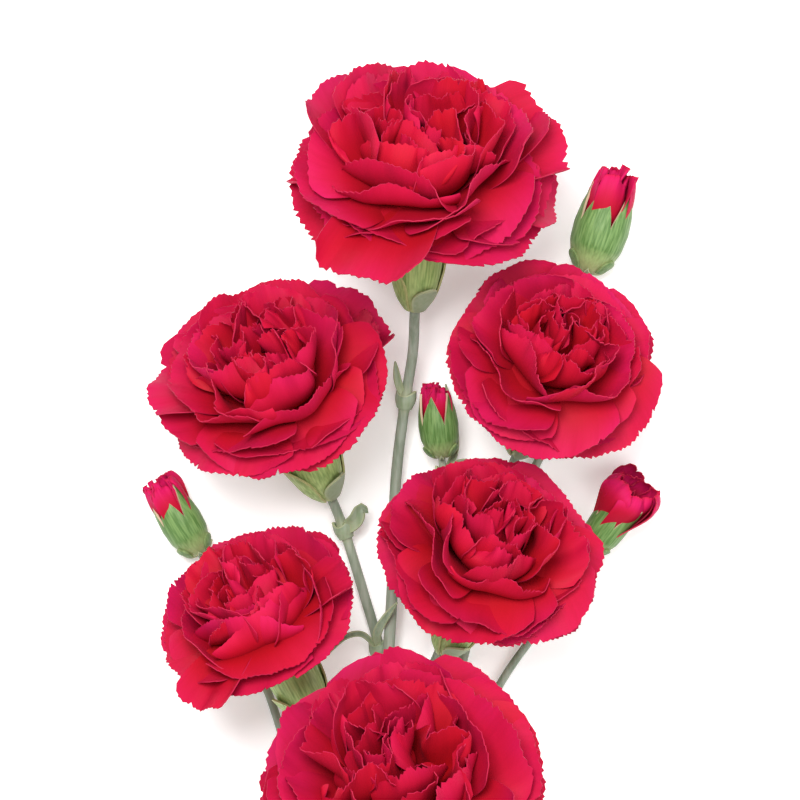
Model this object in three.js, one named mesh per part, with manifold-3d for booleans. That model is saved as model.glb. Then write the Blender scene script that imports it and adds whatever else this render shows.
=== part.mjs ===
// A cut spray carnation lying on a flat surface: one branched, jointed stem that carries six open
// blooms and four buds, with narrow grey-green leaves in pairs at its joints.
//
// Millimetres, +Z up. The spray lies along +Y with its cut end at -Y, and every flower looks up and
// towards +Y. The origin is the middle of its footprint on the surface.
import * as THREE from "three";
import { mergeVertices } from "three/addons/utils/BufferGeometryUtils.js";
import Module from "manifold-3d";

const wasm = await Module();
wasm.setup();

// ---------------------------------------------------------------- driving dimensions
const PETAL_THICKNESS = 0.7;
const PETAL_CLAW = 0.02; // the width of a petal's root, as a share of its full width
const PETAL_BREADTH = 0.85; // the widest that a petal's margin is rounded for, against its length
const PETAL_SHOULDER = 0.7; // how far along a petal its middle row of points stands
const PETAL_RISE = 0.38; // how far a bloom's petal keeps the direction it leaves its root in
const PETAL_CURL = 0.4; // how far it keeps the direction it ends in; both as shares of the radius
const FACING = 18; // how far the petals at a bloom's sides turn to the front, in degrees
const STRAY = 11; // the number that seeds petals that stand out of the rings
const BLOOM_TOOTH = 0.06; // from a notch of the margin to the tip of a tooth, as a share of the petal
const BUD_TOOTH = 0.2;
const LEAF_THICKNESS = 0.8;
const SCALE_THICKNESS = 0.7;
const GAP = 0.32; // between one piece and the next where they meet
const CALYX_WALL = 0.9;
const CALYX_SIDES = 10; // five teeth and five notches
const CALYX_FLOOR = -0.52; // the floor of the cup, as a share of the calyx's length below its mouth
const CALYX_WAIST = -0.3; // where the wall is straight again and the notches end, as the same share
const SCALE_FOOT = 0.4; // from the foot of the calyx up to the scales
const SCALE_TURN = 0.5; // how far the scales are turned about the flower's axis, in radians
const HEART_SIDES = 6;
const STEM_SIDES = 6;
const RING_SPACING = 17; // along a stem
const JOINT_SWELL = 0.5; // a joint is this share thicker than its stem
const JOINT_LENGTH = 1.8;
const FOOT_LENGTH = 2; // how far a stem runs straight behind its flower
const LEAF_FOLD = 0.45; // how deep a leaf is folded, as a share of half its width
const LEAF_STATION = 9; // from one row of a leaf's points to the next
const SEARCH_STEPS = 400; // along a stem, when a joint is looked up

const CRIMSON = new THREE.MeshStandardMaterial({ color: 0xdb1d50, roughness: 0.75, metalness: 0 });
const CALYX_GREEN = new THREE.MeshStandardMaterial({ color: 0x8fa160, roughness: 0.6, metalness: 0 });
const STEM_GREEN = new THREE.MeshStandardMaterial({ color: 0x7d9080, roughness: 0.65, metalness: 0 });

// One ring of petals. back: how they stand on the side of the flower that looks up; front: how they
// stand on the side that faces the surface, if that differs. tip: the angle of the margin from the
// flower's axis; reach: how far it stands from the mouth of the calyx; lean and end: the directions in
// which a petal leaves its root and ends; halfWidth, cup (the radius it is curved across), ruffle and
// the rest are shares of the bloom's radius.
const BLOOM_RINGS = [
  {
    count: 5, back: { tip: 88, reach: 1.01, lean: 34, end: 104 },
    front: { tip: 100, reach: 0.92, lean: 34, end: 118 }, halfWidth: 0.72, cup: 2.4, roll: 7,
    ruffle: 0.05,
  },
  {
    count: 4, back: { tip: 64, reach: 1.01, lean: 24, end: 76 },
    front: { tip: 88, reach: 0.91, lean: 46, end: 66 }, halfWidth: 0.62, cup: 1.2, roll: 8,
    ruffle: 0.05,
  },
  {
    count: 3, back: { tip: 44, reach: 0.96, lean: 18, end: 48 },
    front: { tip: 52, reach: 0.83, lean: 66, end: 0 }, halfWidth: 0.48, cup: 0.7, roll: 10,
    ruffle: 0.04,
  },
  {
    count: 3, back: { tip: 24, reach: 0.9, lean: 10, end: 22 },
    front: { tip: 28, reach: 0.78, lean: 40, end: -14 }, halfWidth: 0.4, cup: 0.42, roll: 12,
    ruffle: 0.04,
  },
];
const BOWL_BLOOM_RINGS = [
  {
    count: 5, back: { tip: 66, reach: 1.02, lean: 56, end: 56 },
    front: { tip: 92, reach: 0.99, lean: 36, end: 108 }, halfWidth: 0.72, cup: 1.6, roll: 7,
    ruffle: 0.05,
  },
  {
    count: 4, back: { tip: 54, reach: 0.94, lean: 52, end: 40 },
    front: { tip: 40, reach: 0.86, lean: 86, end: -26 }, halfWidth: 0.62, cup: 0.85, roll: 9,
    ruffle: 0.04,
  },
  {
    count: 3, back: { tip: 43, reach: 0.86, lean: 36, end: 32 },
    front: { tip: 28, reach: 0.78, lean: 52, end: -12 }, halfWidth: 0.48, cup: 0.55, roll: 12,
    ruffle: 0.03,
  },
  {
    count: 3, back: { tip: 24, reach: 0.9, lean: 10, end: 22 },
    front: { tip: 28, reach: 0.78, lean: 40, end: -14 }, halfWidth: 0.4, cup: 0.42, roll: 12,
    ruffle: 0.04,
  },
];
const CLOSED_BUD_RINGS = [
  {
    count: 3, back: { tip: 16, reach: 1.9, lean: 16, end: -12 }, rise: 0.8, curl: 0.5,
    halfWidth: 0.62, cup: 0.8, roll: 14, ruffle: 0.03,
  },
];
const OPENING_BUD_RINGS = [
  {
    count: 4, back: { tip: 27, reach: 2.5, lean: 9, end: -16 }, rise: 1.5, curl: 0.9,
    halfWidth: 0.85, cup: 1.1, roll: 12, ruffle: 0.06,
  },
];

// The heart that petals are rooted in, as shares of the bloom's or bud's radius: out from the axis,
// up from the mouth of the calyx.
const BLOOM_HEART = [
  [0.5, 0.08],
  [0.6, 0.32],
  [0.45, 0.6],
  [0, 0.72],
];
const BUD_HEART = [
  [0.68, 1.1],
  [0.4, 1.65],
  [0, 1.75],
];

// A petal that stands out of its ring, at an azimuth round the flower's axis in degrees.
const stray = (azimuth, back, halfWidth, cup) => ({
  count: 1, azimuth, back, halfWidth, cup, roll: 4, ruffle: 0.03,
});

// Each flower: mouth is where the petals leave the calyx; heading is the compass direction of its axis
// from +Y towards +X, and elevation how far the axis looks up, in degrees; shares are how far its
// petals reach at the back and in front, against what their ring says.
const FLOWERS = [
  {
    name: "bloom_1", mouth: [4.8, 110.3, 28.6], heading: 3, elevation: 28, radius: 32, length: 28,
    belly: 5.6, seed: 14, turn: 30, shares: [1, 0.8],
    strays: [
      stray(250, { tip: 99, reach: 1.4, lean: 34, end: 112 }, 0.46, 1.2),
      stray(24, { tip: 72, reach: 1.13, lean: 34, end: 84 }, 0.5, 1),
    ],
  },
  {
    name: "bloom_2", mouth: [-25.5, 65.9, 23.2], heading: -25, elevation: 34, radius: 26.5,
    length: 29, belly: 6.3, seed: 22, turn: 0, shares: [1, 0.95],
    strays: [
      stray(157, { tip: 71, reach: 1.12, lean: 30, end: 92 }, 0.46, 0.8),
      stray(20, { tip: 80, reach: 1.1, lean: 34, end: 92 }, 0.5, 1.2),
    ],
  },
  {
    name: "bloom_3", mouth: [33.2, 72.5, 25.5], heading: 20, elevation: 47, radius: 24.5,
    length: 29, belly: 5.6, seed: 33, turn: 20, shares: [0.87, 1.02],
  },
  {
    name: "bloom_4", mouth: [18.5, 29.8, 27.5], heading: 22, elevation: 38, radius: 24,
    length: 28, belly: 5.6, seed: 44, turn: 5, shares: [0.98, 1.06],
    strays: [stray(5, { tip: 78, reach: 1.06, lean: 30, end: 92 }, 0.46, 0.8)],
  },
  {
    name: "bloom_5", bowl: true, mouth: [-28.6, 15, 27.4], heading: -27, elevation: 30, radius: 25,
    length: 27, belly: 5.8, seed: 57, turn: 20, shares: [0.99, 0.78],
    strays: [
      stray(338, { tip: 74, reach: 1.14, lean: 44, end: 70 }, 0.3, 0.22),
      stray(222, { tip: 92, reach: 1.3, lean: 40, end: 104 }, 0.3, 0.3),
    ],
  },
  {
    name: "bloom_6", mouth: [0.7, -21, 44.6], heading: -12, elevation: 47, radius: 33, length: 30,
    belly: 6, seed: 66, turn: 18, shares: [0.92, 1],
  },
  {
    name: "bud_1", bud: true, mouth: [46.1, 107, 6.6], heading: 18, elevation: 6, radius: 6.4,
    length: 13.5, belly: 6.3, seed: 71, turn: 0,
  },
  {
    name: "bud_2", bud: true, mouth: [8.5, 62.4, 9.8], heading: -6, elevation: 12, radius: 4.6,
    length: 9.8, belly: 4.5, seed: 72, turn: 0,
  },
  {
    name: "bud_3", bud: true, opening: true, mouth: [48.1, 39.8, 8.6], heading: 36, elevation: 14,
    radius: 4.8, length: 9.8, belly: 4.5, seed: 73, turn: 0,
  },
  {
    name: "bud_4", bud: true, mouth: [-50.2, 41, 5.9], heading: -31, elevation: 8, radius: 4.9,
    length: 11.4, belly: 4.8, seed: 74, turn: 0,
  },
];

// The stems, each from the foot of its flower down to the joint it leaves. joints counts along points;
// radius is at the top and at the bottom. The joints of the main stem are where the branches end.
const JOINT_A = [1.4, 65.6, 9.5];
const JOINT_B = [-3.3, -4.8, 7.5];
const JOINT_C = [-4.6, -26.8, 7.5];
const JOINT_D = [-5.6, -44, 7];
const JOINT_E = [-6.2, -59, 6.4];
const JOINT_F = [-6.6, -76, 5.2];
const JOINT_G = [-6.6, -107, 3];
const FORK = [20.4, 34, 1.6]; // where the stem of bud_1 leaves that of bloom_3
const STEMS = [
  {
    name: "stem_main", flower: "bloom_1", radius: [1.15, 1.6], joints: [2, 5, 6, 7, 8, 9, 10],
    points: [
      [3.1, 76.6, 11.6], JOINT_A, [-0.7, 48, 6.5], [-1.6, 22, 6.6], JOINT_B, JOINT_C, JOINT_D,
      JOINT_E, JOINT_F, JOINT_G, [-6, -141.4, 1.3],
    ],
  },
  {
    name: "branch_bloom_2", flower: "bloom_2", radius: [1.1, 1.15], joints: [1, 3],
    points: [[-12.3, 36.5, 5.2], [-7.8, 22, 4], [-4.4, 9.5, 3.6], JOINT_B],
  },
  {
    name: "branch_bloom_3", flower: "bloom_3", radius: [1.05, 1.15], joints: [2],
    points: [[24.4, 48, 1.6], FORK, [13.6, 5, 1.9], [5, -22, 3.6], JOINT_D],
  },
  {
    name: "branch_bloom_4", flower: "bloom_4", radius: [1.05, 1.15], joints: [],
    points: [[7.4, 0.5, 7.2], [2, -14, 6.6], JOINT_C],
  },
  {
    name: "branch_bloom_5", flower: "bloom_5", radius: [1.05, 1.15], joints: [],
    points: [[-15.4, -12.5, 9.5], [-11.5, -26, 7.5], JOINT_D],
  },
  {
    name: "branch_bloom_6", flower: "bloom_6", radius: [1.15, 1.25], joints: [],
    points: [[4.6, -49.5, 13.4], [0.5, -55, 9], JOINT_E],
  },
  {
    name: "branch_bud_1", flower: "bud_1", radius: [0.9, 1], joints: [2],
    points: [[39.4, 86, 3.4], [37, 74, 2.2], [33.6, 58, 1.7], [27.2, 44.5, 1.5], FORK],
    onto: "branch_bloom_3",
  },
  {
    name: "branch_bud_2", flower: "bud_2", radius: [0.8, 0.95], joints: [1],
    points: [[9.8, 48.5, 6.4], [11, 30, 3.4], [8.2, 8, 3.4], JOINT_B],
  },
  {
    name: "branch_bud_3", flower: "bud_3", radius: [0.85, 1.1], joints: [2],
    points: [
      [39.4, 26.5, 4.2], [32, 15.5, 3], [22.9, 2.5, 2.2], [9, -26, 1.6], [0, -56, 2.6], JOINT_F,
    ],
  },
  {
    name: "branch_bud_4", flower: "bud_4", radius: [0.85, 1.1], joints: [2],
    points: [[-42, 26, 3], [-30.4, 2.9, 1.8], [-22, -24, 1.5], [-13, -55, 2.2], JOINT_F],
  },
];

// Leaves: the stem that bears each, its half width, and points from its root to its tip.
const LEAVES = [
  { stem: "stem_main", half: 0.7, points: [JOINT_A, [-0.2, 69.5, 11.2], [-0.9, 74.2, 12]] },
  { stem: "stem_main", half: 1.6, points: [JOINT_E, [-13, -50, 12], [-23, -43, 13], [-37, -43, 6]] },
  { stem: "stem_main", half: 1.6, points: [JOINT_F, [2, -67, 11.5], [14, -59, 13.5], [27, -58, 8]] },
  { stem: "stem_main", half: 2.1, points: [JOINT_G, [-14, -95, 9], [-24, -85, 10], [-38, -83, 2.5]] },
  { stem: "stem_main", half: 2.1, points: [JOINT_G, [1, -96, 9], [13, -87, 10.5], [29, -83, 3]] },
  {
    stem: "branch_bloom_2", half: 1.5,
    points: [[-12.3, 36.5, 5.2], [-9.6, 39, 8], [-8.4, 41.5, 8.6], [-6.9, 40.4, 7.6]],
  },
  {
    stem: "branch_bloom_2", half: 0.9,
    points: [[-4.4, 9.5, 3.6], [-8.4, 13.4, 7.4], [-12, 12.8, 9], [-16.9, 8, 7]],
  },
  {
    stem: "branch_bloom_2", half: 0.8,
    points: [[-4.4, 9.5, 3.6], [-4.9, 13.4, 7], [-3, 17.2, 9.9], [-0.4, 20.6, 10.7]],
  },
  { stem: "branch_bud_2", half: 0.7, points: [[9.8, 48.5, 6.4], [12.3, 51, 5.6], [15.2, 52.4, 5]] },
  {
    stem: "branch_bud_2", half: 0.7,
    points: [[9.8, 48.5, 6.4], [12.4, 54, 2.6], [12, 62, 1.8], [10.4, 69.2, 2.4]],
  },
  { stem: "branch_bud_3", half: 0.8, points: [[32, 15.5, 3], [35.8, 17.2, 4.2], [40, 17.8, 3.6]] },
];

// ---------------------------------------------------------------- small helpers
const rad = THREE.MathUtils.degToRad;
const { lerp, clamp } = THREE.MathUtils;

// The whole numbers from 0 up to, but not including, count.
const counted = (count) => Array.from({ length: count }, (_, i) => i);

// A seeded draw from -1 to 1, the same on every run.
function seededDraw(seed) {
  let state = (seed * 7919 + 104729) % 4294967296;
  const next = () => {
    state = (state * 1664525 + 1013904223) % 4294967296;
    return (state / 4294967296) * 2 - 1;
  };
  next();
  next();
  return next;
}

// A closed geometry as a solid.
function toSolid(geometry) {
  const bare = geometry.clone();
  bare.deleteAttribute("normal");
  bare.deleteAttribute("uv");
  const merged = mergeVertices(bare, 1e-4);
  const index = merged.index.array;
  const kept = [];
  for (let i = 0; i < index.length; i += 3) {
    const [a, b, c] = [index[i], index[i + 1], index[i + 2]];
    if (a !== b && b !== c && c !== a) kept.push(a, b, c);
  }
  return new wasm.Manifold(
    new wasm.Mesh({
      numProp: 3,
      vertProperties: new Float32Array(merged.attributes.position.array),
      triVerts: new Uint32Array(kept),
    }),
  );
}

// A solid as a geometry, without the loose scraps that a cut can leave.
function toGeometry(solid) {
  const body = solid.decompose().sort((a, b) => b.volume() - a.volume())[0];
  const mesh = body.getMesh();
  const positions = new Float32Array(mesh.numVert * 3);
  for (let i = 0; i < mesh.numVert; i++) {
    positions.set(mesh.vertProperties.subarray(i * mesh.numProp, i * mesh.numProp + 3), i * 3);
  }
  const geometry = new THREE.BufferGeometry();
  geometry.setAttribute("position", new THREE.BufferAttribute(positions, 3));
  geometry.setIndex(new THREE.BufferAttribute(new Uint32Array(mesh.triVerts), 1));
  geometry.computeVertexNormals();
  return geometry;
}

function indexedGeometry(points, triangles) {
  const geometry = new THREE.BufferGeometry().setFromPoints(points);
  geometry.setIndex(triangles.flat());
  return geometry;
}

// Triangles between two rows of a net, whichever row is the finer one.
function stripTriangles(lower, upper) {
  const triangles = [];
  let [i, j] = [0, 0];
  while (i < lower.length - 1 || j < upper.length - 1) {
    const nextLower = i < lower.length - 1 ? (i + 1) / (lower.length - 1) : Infinity;
    const nextUpper = j < upper.length - 1 ? (j + 1) / (upper.length - 1) : Infinity;
    if (nextLower <= nextUpper) {
      triangles.push([lower[i], lower[i + 1], upper[j]]);
      i += 1;
    } else {
      triangles.push([lower[i], upper[j + 1], upper[j]]);
      j += 1;
    }
  }
  return triangles;
}

// A thin closed blade from rows of points, root row first. Both faces are split into triangles alike.
function bladeSolid(rows, thickness) {
  const middle = rows.flat();
  let first = 0;
  const numbered = rows.map((row) => row.map(() => first++));
  const net = [];
  for (let k = 1; k < numbered.length; k++) net.push(...stripTriangles(numbered[k - 1], numbered[k]));

  const normals = middle.map(() => new THREE.Vector3());
  const [edge1, edge2] = [new THREE.Vector3(), new THREE.Vector3()];
  for (const [a, b, c] of net) {
    edge1.subVectors(middle[b], middle[a]);
    edge2.subVectors(middle[c], middle[a]);
    const facing = edge1.clone().cross(edge2).normalize();
    for (const corner of [a, b, c]) normals[corner].add(facing);
  }
  for (const normal of normals) normal.normalize();
  const shifted = (distance) =>
    middle.map((point, i) => point.clone().addScaledVector(normals[i], distance));

  const inner = numbered.slice(1, -1);
  const outline = [
    ...numbered[0],
    ...inner.map((row) => row.at(-1)),
    ...[...numbered.at(-1)].reverse(),
    ...inner.map((row) => row[0]).reverse(),
  ];
  const back = middle.length;
  const walls = outline.flatMap((a, i) => {
    const b = outline[(i + 1) % outline.length];
    return [
      [a, a + back, b],
      [b, a + back, b + back],
    ];
  });
  const faces = [...net, ...net.map(([a, b, c]) => [a + back, c + back, b + back]), ...walls];
  return toSolid(indexedGeometry([...shifted(thickness / 2), ...shifted(-thickness / 2)], faces));
}

// A unit direction turned from one axis towards another, square to it.
function turned(from, towards, angle) {
  return from.clone().multiplyScalar(Math.cos(angle)).addScaledVector(towards, Math.sin(angle));
}

// A round tube along a smooth line, with a radius for each share of its length.
function tubeSolid(curve, stops, radiusAt, sides) {
  const frames = stops.map((t) => ({ centre: curve.getPointAt(t), tangent: curve.getTangentAt(t) }));
  const side = new THREE.Vector3(0, 0, 1);
  const points = [];
  for (const [k, { centre, tangent }] of frames.entries()) {
    const across = side.clone().cross(tangent).normalize();
    const up = tangent.clone().cross(across).normalize();
    for (let s = 0; s < sides; s++) {
      const angle = (s / sides) * Math.PI * 2;
      const outward = turned(across, up, angle);
      points.push(centre.clone().addScaledVector(outward, radiusAt(stops[k])));
    }
  }
  const ends = [frames[0].centre, frames.at(-1).centre];
  const triangles = [];
  for (let k = 0; k < frames.length - 1; k++) {
    for (let s = 0; s < sides; s++) {
      const [a, b] = [k * sides + s, k * sides + ((s + 1) % sides)];
      triangles.push([a, b, a + sides], [b, b + sides, a + sides]);
    }
  }
  const [start, finish] = [points.length, points.length + 1];
  const last = (frames.length - 1) * sides;
  for (let s = 0; s < sides; s++) {
    const after = (s + 1) % sides;
    triangles.push([start, after, s], [finish, last + s, last + after]);
  }
  return toSolid(indexedGeometry([...points, ...ends], triangles));
}

// A turned solid about local +Z from a profile of [radius, height] pairs that starts and ends on the
// axis. The heights of the points in toothed are lowered on every second side, which cuts the teeth.
function turnedSolid(profile, sides, toothed = [], notch = 0) {
  const geometry = new THREE.LatheGeometry(
    profile.map(([radius, height]) => new THREE.Vector2(radius, height)),
    sides,
  );
  const positions = geometry.attributes.position;
  for (let side = 0; side <= sides; side++) {
    for (const point of toothed) {
      const i = side * profile.length + point;
      if (side % 2) positions.setY(i, positions.getY(i) - notch);
    }
  }
  return toSolid(geometry.rotateX(Math.PI / 2));
}

// ---------------------------------------------------------------- petals
// The net of a petal: how many steps each row has across. Every second point of the margin is the tip
// of a tooth.
const OUTER_PETAL_NET = { root: 1, middle: 2, margin: 6 };
const PETAL_NET = { root: 1, middle: 2, margin: 4 };

// The point of a petal at across (-1 to 1) and along (0 to 1), in its flower's frame.
function petalPoint(petal, across, along) {
  const share = along * Math.sqrt(1 - (petal.breadth * across) ** 2);
  const [p0, p1, p2, p3] = petal.midline;
  const bezier = new THREE.CubicBezierCurve(p0, p1, p2, p3);
  const middle = bezier.getPoint(clamp(share, 0, 1));
  const tangent = bezier.getTangent(clamp(share, 0.01, 0.99));
  if (share > 1) middle.addScaledVector(tangent, (share - 1) * petal.size);
  const spread = PETAL_CLAW + (1 - PETAL_CLAW) * share;
  const angle = (petal.halfWidth * spread * across) / petal.cup;

  // out: away from the axis at the petal's own azimuth; face: towards its upper, inner side
  const out = new THREE.Vector3(Math.cos(petal.azimuth), Math.sin(petal.azimuth), 0);
  const axis = new THREE.Vector3(0, 0, 1);
  const side = axis.clone().cross(out);
  const face = out.clone().multiplyScalar(-tangent.y).addScaledVector(axis, tangent.x);
  const wave = petal.ruffle * share * share * Math.sin(across * petal.waves + petal.phase);
  return new THREE.Vector3()
    .addScaledVector(out, middle.x)
    .addScaledVector(axis, middle.y)
    .addScaledVector(turned(side, face, petal.roll), petal.cup * Math.sin(angle))
    .addScaledVector(turned(face, side, -petal.roll), petal.cup * (1 - Math.cos(angle)) + wave);
}

// A step out from and along the flower's axis, from an angle off it and a distance.
function polar(angle, distance) {
  return new THREE.Vector2(Math.sin(rad(angle)) * distance, Math.cos(rad(angle)) * distance);
}

// How a petal stands that is part of the way round from the back of its flower to the front.
function stanceOf(flower, { back, front = back }, forward) {
  const between = (key) => lerp(back[key], front[key], forward);
  const reach = between("reach") * lerp(...(flower.shares ?? [1, 1]), forward);
  return { tip: between("tip"), lean: between("lean"), end: between("end"), reach };
}

// The sizes of one petal, from its ring and a seeded draw.
function petalOf(flower, ring, ringNumber, place) {
  const draw = seededDraw(flower.seed * 100 + ringNumber * 12 + place);
  const size = flower.radius;
  const [tipDraw, reachDraw, endDraw, turnDraw, widthDraw, cupDraw, rollDraw] = counted(7).map(draw);
  const step = place + 0.5 * (ringNumber % 2) + 0.1 * turnDraw;
  const spaced = rad(flower.turn) + ((Math.PI * 2) / ring.count) * step;
  const azimuth = ring.azimuth === undefined ? spaced : rad(ring.azimuth);
  const { tip: tipAngle, lean, end, reach } = stanceOf(flower, ring, 0.5 - 0.5 * Math.sin(azimuth));
  const meanTip = (ring.back.tip + (ring.front ?? ring.back).tip) / 2;
  const rootRadius = Math.min(0.62 * flower.belly, 0.6 + 0.03 * meanTip * (flower.belly / 5.6));
  const root = new THREE.Vector2(rootRadius, 0);
  const tip = polar(tipAngle + 4 * tipDraw, reach * size * (1 + 0.05 * reachDraw));
  const midline = [
    root,
    root.clone().add(polar(lean, (ring.rise ?? PETAL_RISE) * size)),
    tip.clone().sub(polar(end + 7 * endDraw, (ring.curl ?? PETAL_CURL) * size)),
    tip,
  ];
  const halfWidth = ring.halfWidth * size * (1 + 0.06 * widthDraw);
  const sideways = flower.bud ? 0 : Math.cos(azimuth);
  const roll = ring.roll + 3 * rollDraw;
  return {
    midline,
    size,
    azimuth,
    halfWidth,
    breadth: Math.min(PETAL_BREADTH, (0.95 * halfWidth) / tip.length()),
    cup: ring.cup * size * (1 + 0.12 * cupDraw + 0.6 * sideways ** 2),
    roll: rad(flower.bud ? roll : 0.5 * roll + FACING * sideways),
    ruffle: ring.ruffle * size,
    waves: 4.6 + 0.8 * draw(),
    phase: Math.PI * draw(),
    tooth: flower.bud ? BUD_TOOTH : BLOOM_TOOTH,
    net: flower.bud || ringNumber ? PETAL_NET : OUTER_PETAL_NET,
  };
}

function petalSolid(petal) {
  const { root, middle, margin } = petal.net;
  const row = (steps, alongAt) =>
    counted(steps + 1).map((i) => petalPoint(petal, (i / steps) * 2 - 1, alongAt(i)));
  const rows = [
    row(root, () => 0),
    row(middle, () => PETAL_SHOULDER),
    row(margin, (i) => 1 + (i % 2 ? 0.5 : -0.5) * petal.tooth),
  ];
  return bladeSolid(rows, PETAL_THICKNESS);
}

// ---------------------------------------------------------------- calyx
// How high the teeth stand above the mouth, and the radius of the wall at their tips.
function rimOf({ bud, belly }) {
  return bud ? { tooth: 0.95 * belly, mouth: 0.9 * belly } : { tooth: 0.7 * belly, mouth: 1.04 * belly };
}

// The green cup that holds the petals.
function calyxSolid(flower) {
  const { length, belly } = flower;
  const { tooth, mouth } = rimOf(flower);
  const inside = CALYX_FLOOR * length;
  const profile = [
    [0, -length],
    [0.42 * belly, -length],
    [0.93 * belly, -0.76 * length],
    [belly, CALYX_WAIST * length],
    [mouth, tooth],
    [mouth - 0.75 * CALYX_WALL, tooth],
    [belly - CALYX_WALL, CALYX_WAIST * length],
    [0.7 * (belly - CALYX_WALL), inside],
    [0, inside],
  ];
  return turnedSolid(profile, CALYX_SIDES, [4, 5], 1.5 * tooth);
}

// The room that the teeth need round the petals, from below the notches to above the tips.
function collarSolid(flower) {
  const { tooth, mouth } = rimOf(flower);
  const [inner, outer] = [mouth - 0.75 * CALYX_WALL - GAP, mouth + 2 * GAP];
  const [low, high] = [CALYX_WAIST * flower.length, tooth + GAP];
  const profile = [
    [inner, low],
    [outer, low],
    [outer, high],
    [inner, high],
    [inner, low],
  ];
  return turnedSolid(profile, CALYX_SIDES);
}

// The pointed scales that clasp the foot of the calyx, in two crossed pairs.
function scaleSolids(flower) {
  const { length, belly } = flower;
  const solids = [];
  for (let k = 0; k < 4; k++) {
    const azimuth = (k * Math.PI) / 2 + SCALE_TURN;
    const outer = k % 2;
    const scaleLength = (outer ? 0.34 : 0.42) * length;
    const stations = [
      { along: 0.06, off: 0.5, half: 0.5 },
      { along: 0.5, off: flower.bud ? 1 : 1.06, half: 0.45 },
      { along: 1, off: (outer ? 1.3 : 1.15) - (flower.bud ? 0.1 : 0), half: 0 },
    ];
    const rows = stations.map(({ along, off, half }) => {
      const steps = half ? [-1, 1] : [0];
      const height = -length + SCALE_FOOT + along * scaleLength;
      return steps.map((side) => {
        const turn = azimuth + side * half;
        const radius = off * belly;
        return new THREE.Vector3(Math.cos(turn) * radius, Math.sin(turn) * radius, height);
      });
    });
    solids.push(bladeSolid(rows, SCALE_THICKNESS));
  }
  return solids;
}

// ---------------------------------------------------------------- a whole flower
// Local +Z runs out of the flower's face, local +X lies level and local +Y points down and forward.
function flowerGroup(flower) {
  const group = new THREE.Group();
  const [heading, elevation] = [rad(flower.heading), rad(flower.elevation)];
  const axis = new THREE.Vector3(
    Math.sin(heading) * Math.cos(elevation),
    Math.cos(heading) * Math.cos(elevation),
    Math.sin(elevation),
  );
  const level = new THREE.Vector3(Math.cos(heading), -Math.sin(heading), 0);
  const basis = new THREE.Matrix4().makeBasis(level, axis.clone().cross(level), axis);
  group.quaternion.setFromRotationMatrix(basis);
  group.position.set(...flower.mouth);
  group.updateMatrix();
  return group;
}

// A solid of a turned flower, cut level where it would sink below the surface it rests on.
function cutAtSurface(solid, group) {
  const toLocal = group.matrix.clone().invert();
  const up = new THREE.Vector3(0, 0, 1).transformDirection(toLocal);
  const ground = new THREE.Vector3(0, 0, 0).applyMatrix4(toLocal);
  return solid.trimByPlane([up.x, up.y, up.z], ground.dot(up));
}

// The heart fills the cup of the calyx and stands proud of its teeth.
function heartSolid(flower) {
  const { length, belly, radius } = flower;
  const inside = (belly - CALYX_WALL) * Math.cos(Math.PI / CALYX_SIDES) - GAP;
  const foot = [
    [0, CALYX_FLOOR * length + GAP],
    [0.7 * inside, CALYX_FLOOR * length + GAP],
    [inside, CALYX_WAIST * length],
    [inside, 0],
  ];
  const crown = (flower.bud ? BUD_HEART : BLOOM_HEART).map(([out, up]) => [out * radius, up * radius]);
  return turnedSolid([...foot, ...crown], HEART_SIDES);
}

function makeFlower(flower) {
  const group = flowerGroup(flower);
  let rings = flower.bowl ? BOWL_BLOOM_RINGS : BLOOM_RINGS;
  if (flower.bud) rings = flower.opening ? OPENING_BUD_RINGS : CLOSED_BUD_RINGS;
  const strays = (flower.strays ?? []).map((ring) => petalSolid(petalOf(flower, ring, STRAY, 0)));
  const petals = rings.flatMap((ring, ringNumber) =>
    counted(ring.count).map((place) => petalSolid(petalOf(flower, ring, ringNumber, place))),
  );
  const clasp = scaleSolids(flower);
  const calyx = wasm.Manifold.union([calyxSolid(flower), ...clasp]);
  const head = wasm.Manifold.union([heartSolid(flower), ...petals, ...strays]).subtract(
    collarSolid(flower),
  );

  const petalsMesh = new THREE.Mesh(toGeometry(cutAtSurface(head, group)), CRIMSON);
  petalsMesh.name = `${flower.name}_petals`;
  const calyxMesh = new THREE.Mesh(toGeometry(cutAtSurface(calyx, group)), CALYX_GREEN);
  calyxMesh.name = `${flower.name}_calyx`;
  group.add(petalsMesh, calyxMesh);
  return group;
}

// ---------------------------------------------------------------- stems and leaves
function smoothLine(points) {
  const through = points.map((point) => new THREE.Vector3(...point));
  return new THREE.CatmullRomCurve3(through, false, "centripetal");
}

// How far along a line, from 0 to 1, it passes nearest to a point.
function shareNearest(curve, point) {
  const target = new THREE.Vector3(...point);
  const shares = counted(SEARCH_STEPS + 1).map((i) => i / SEARCH_STEPS);
  return shares.reduce((best, share) =>
    curve.getPointAt(share).distanceTo(target) < curve.getPointAt(best).distanceTo(target) ? share : best,
  );
}

// Where a flower meets its stem, and a point straight behind it that the stem passes through.
function footOf(flower) {
  const axis = new THREE.Vector3(0, 0, 1).applyQuaternion(flowerGroup(flower).quaternion);
  const mouth = new THREE.Vector3(...flower.mouth);
  const behind = (distance) => mouth.clone().addScaledVector(axis, -flower.length - distance);
  return [behind(GAP).toArray(), behind(FOOT_LENGTH).toArray()];
}

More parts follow.
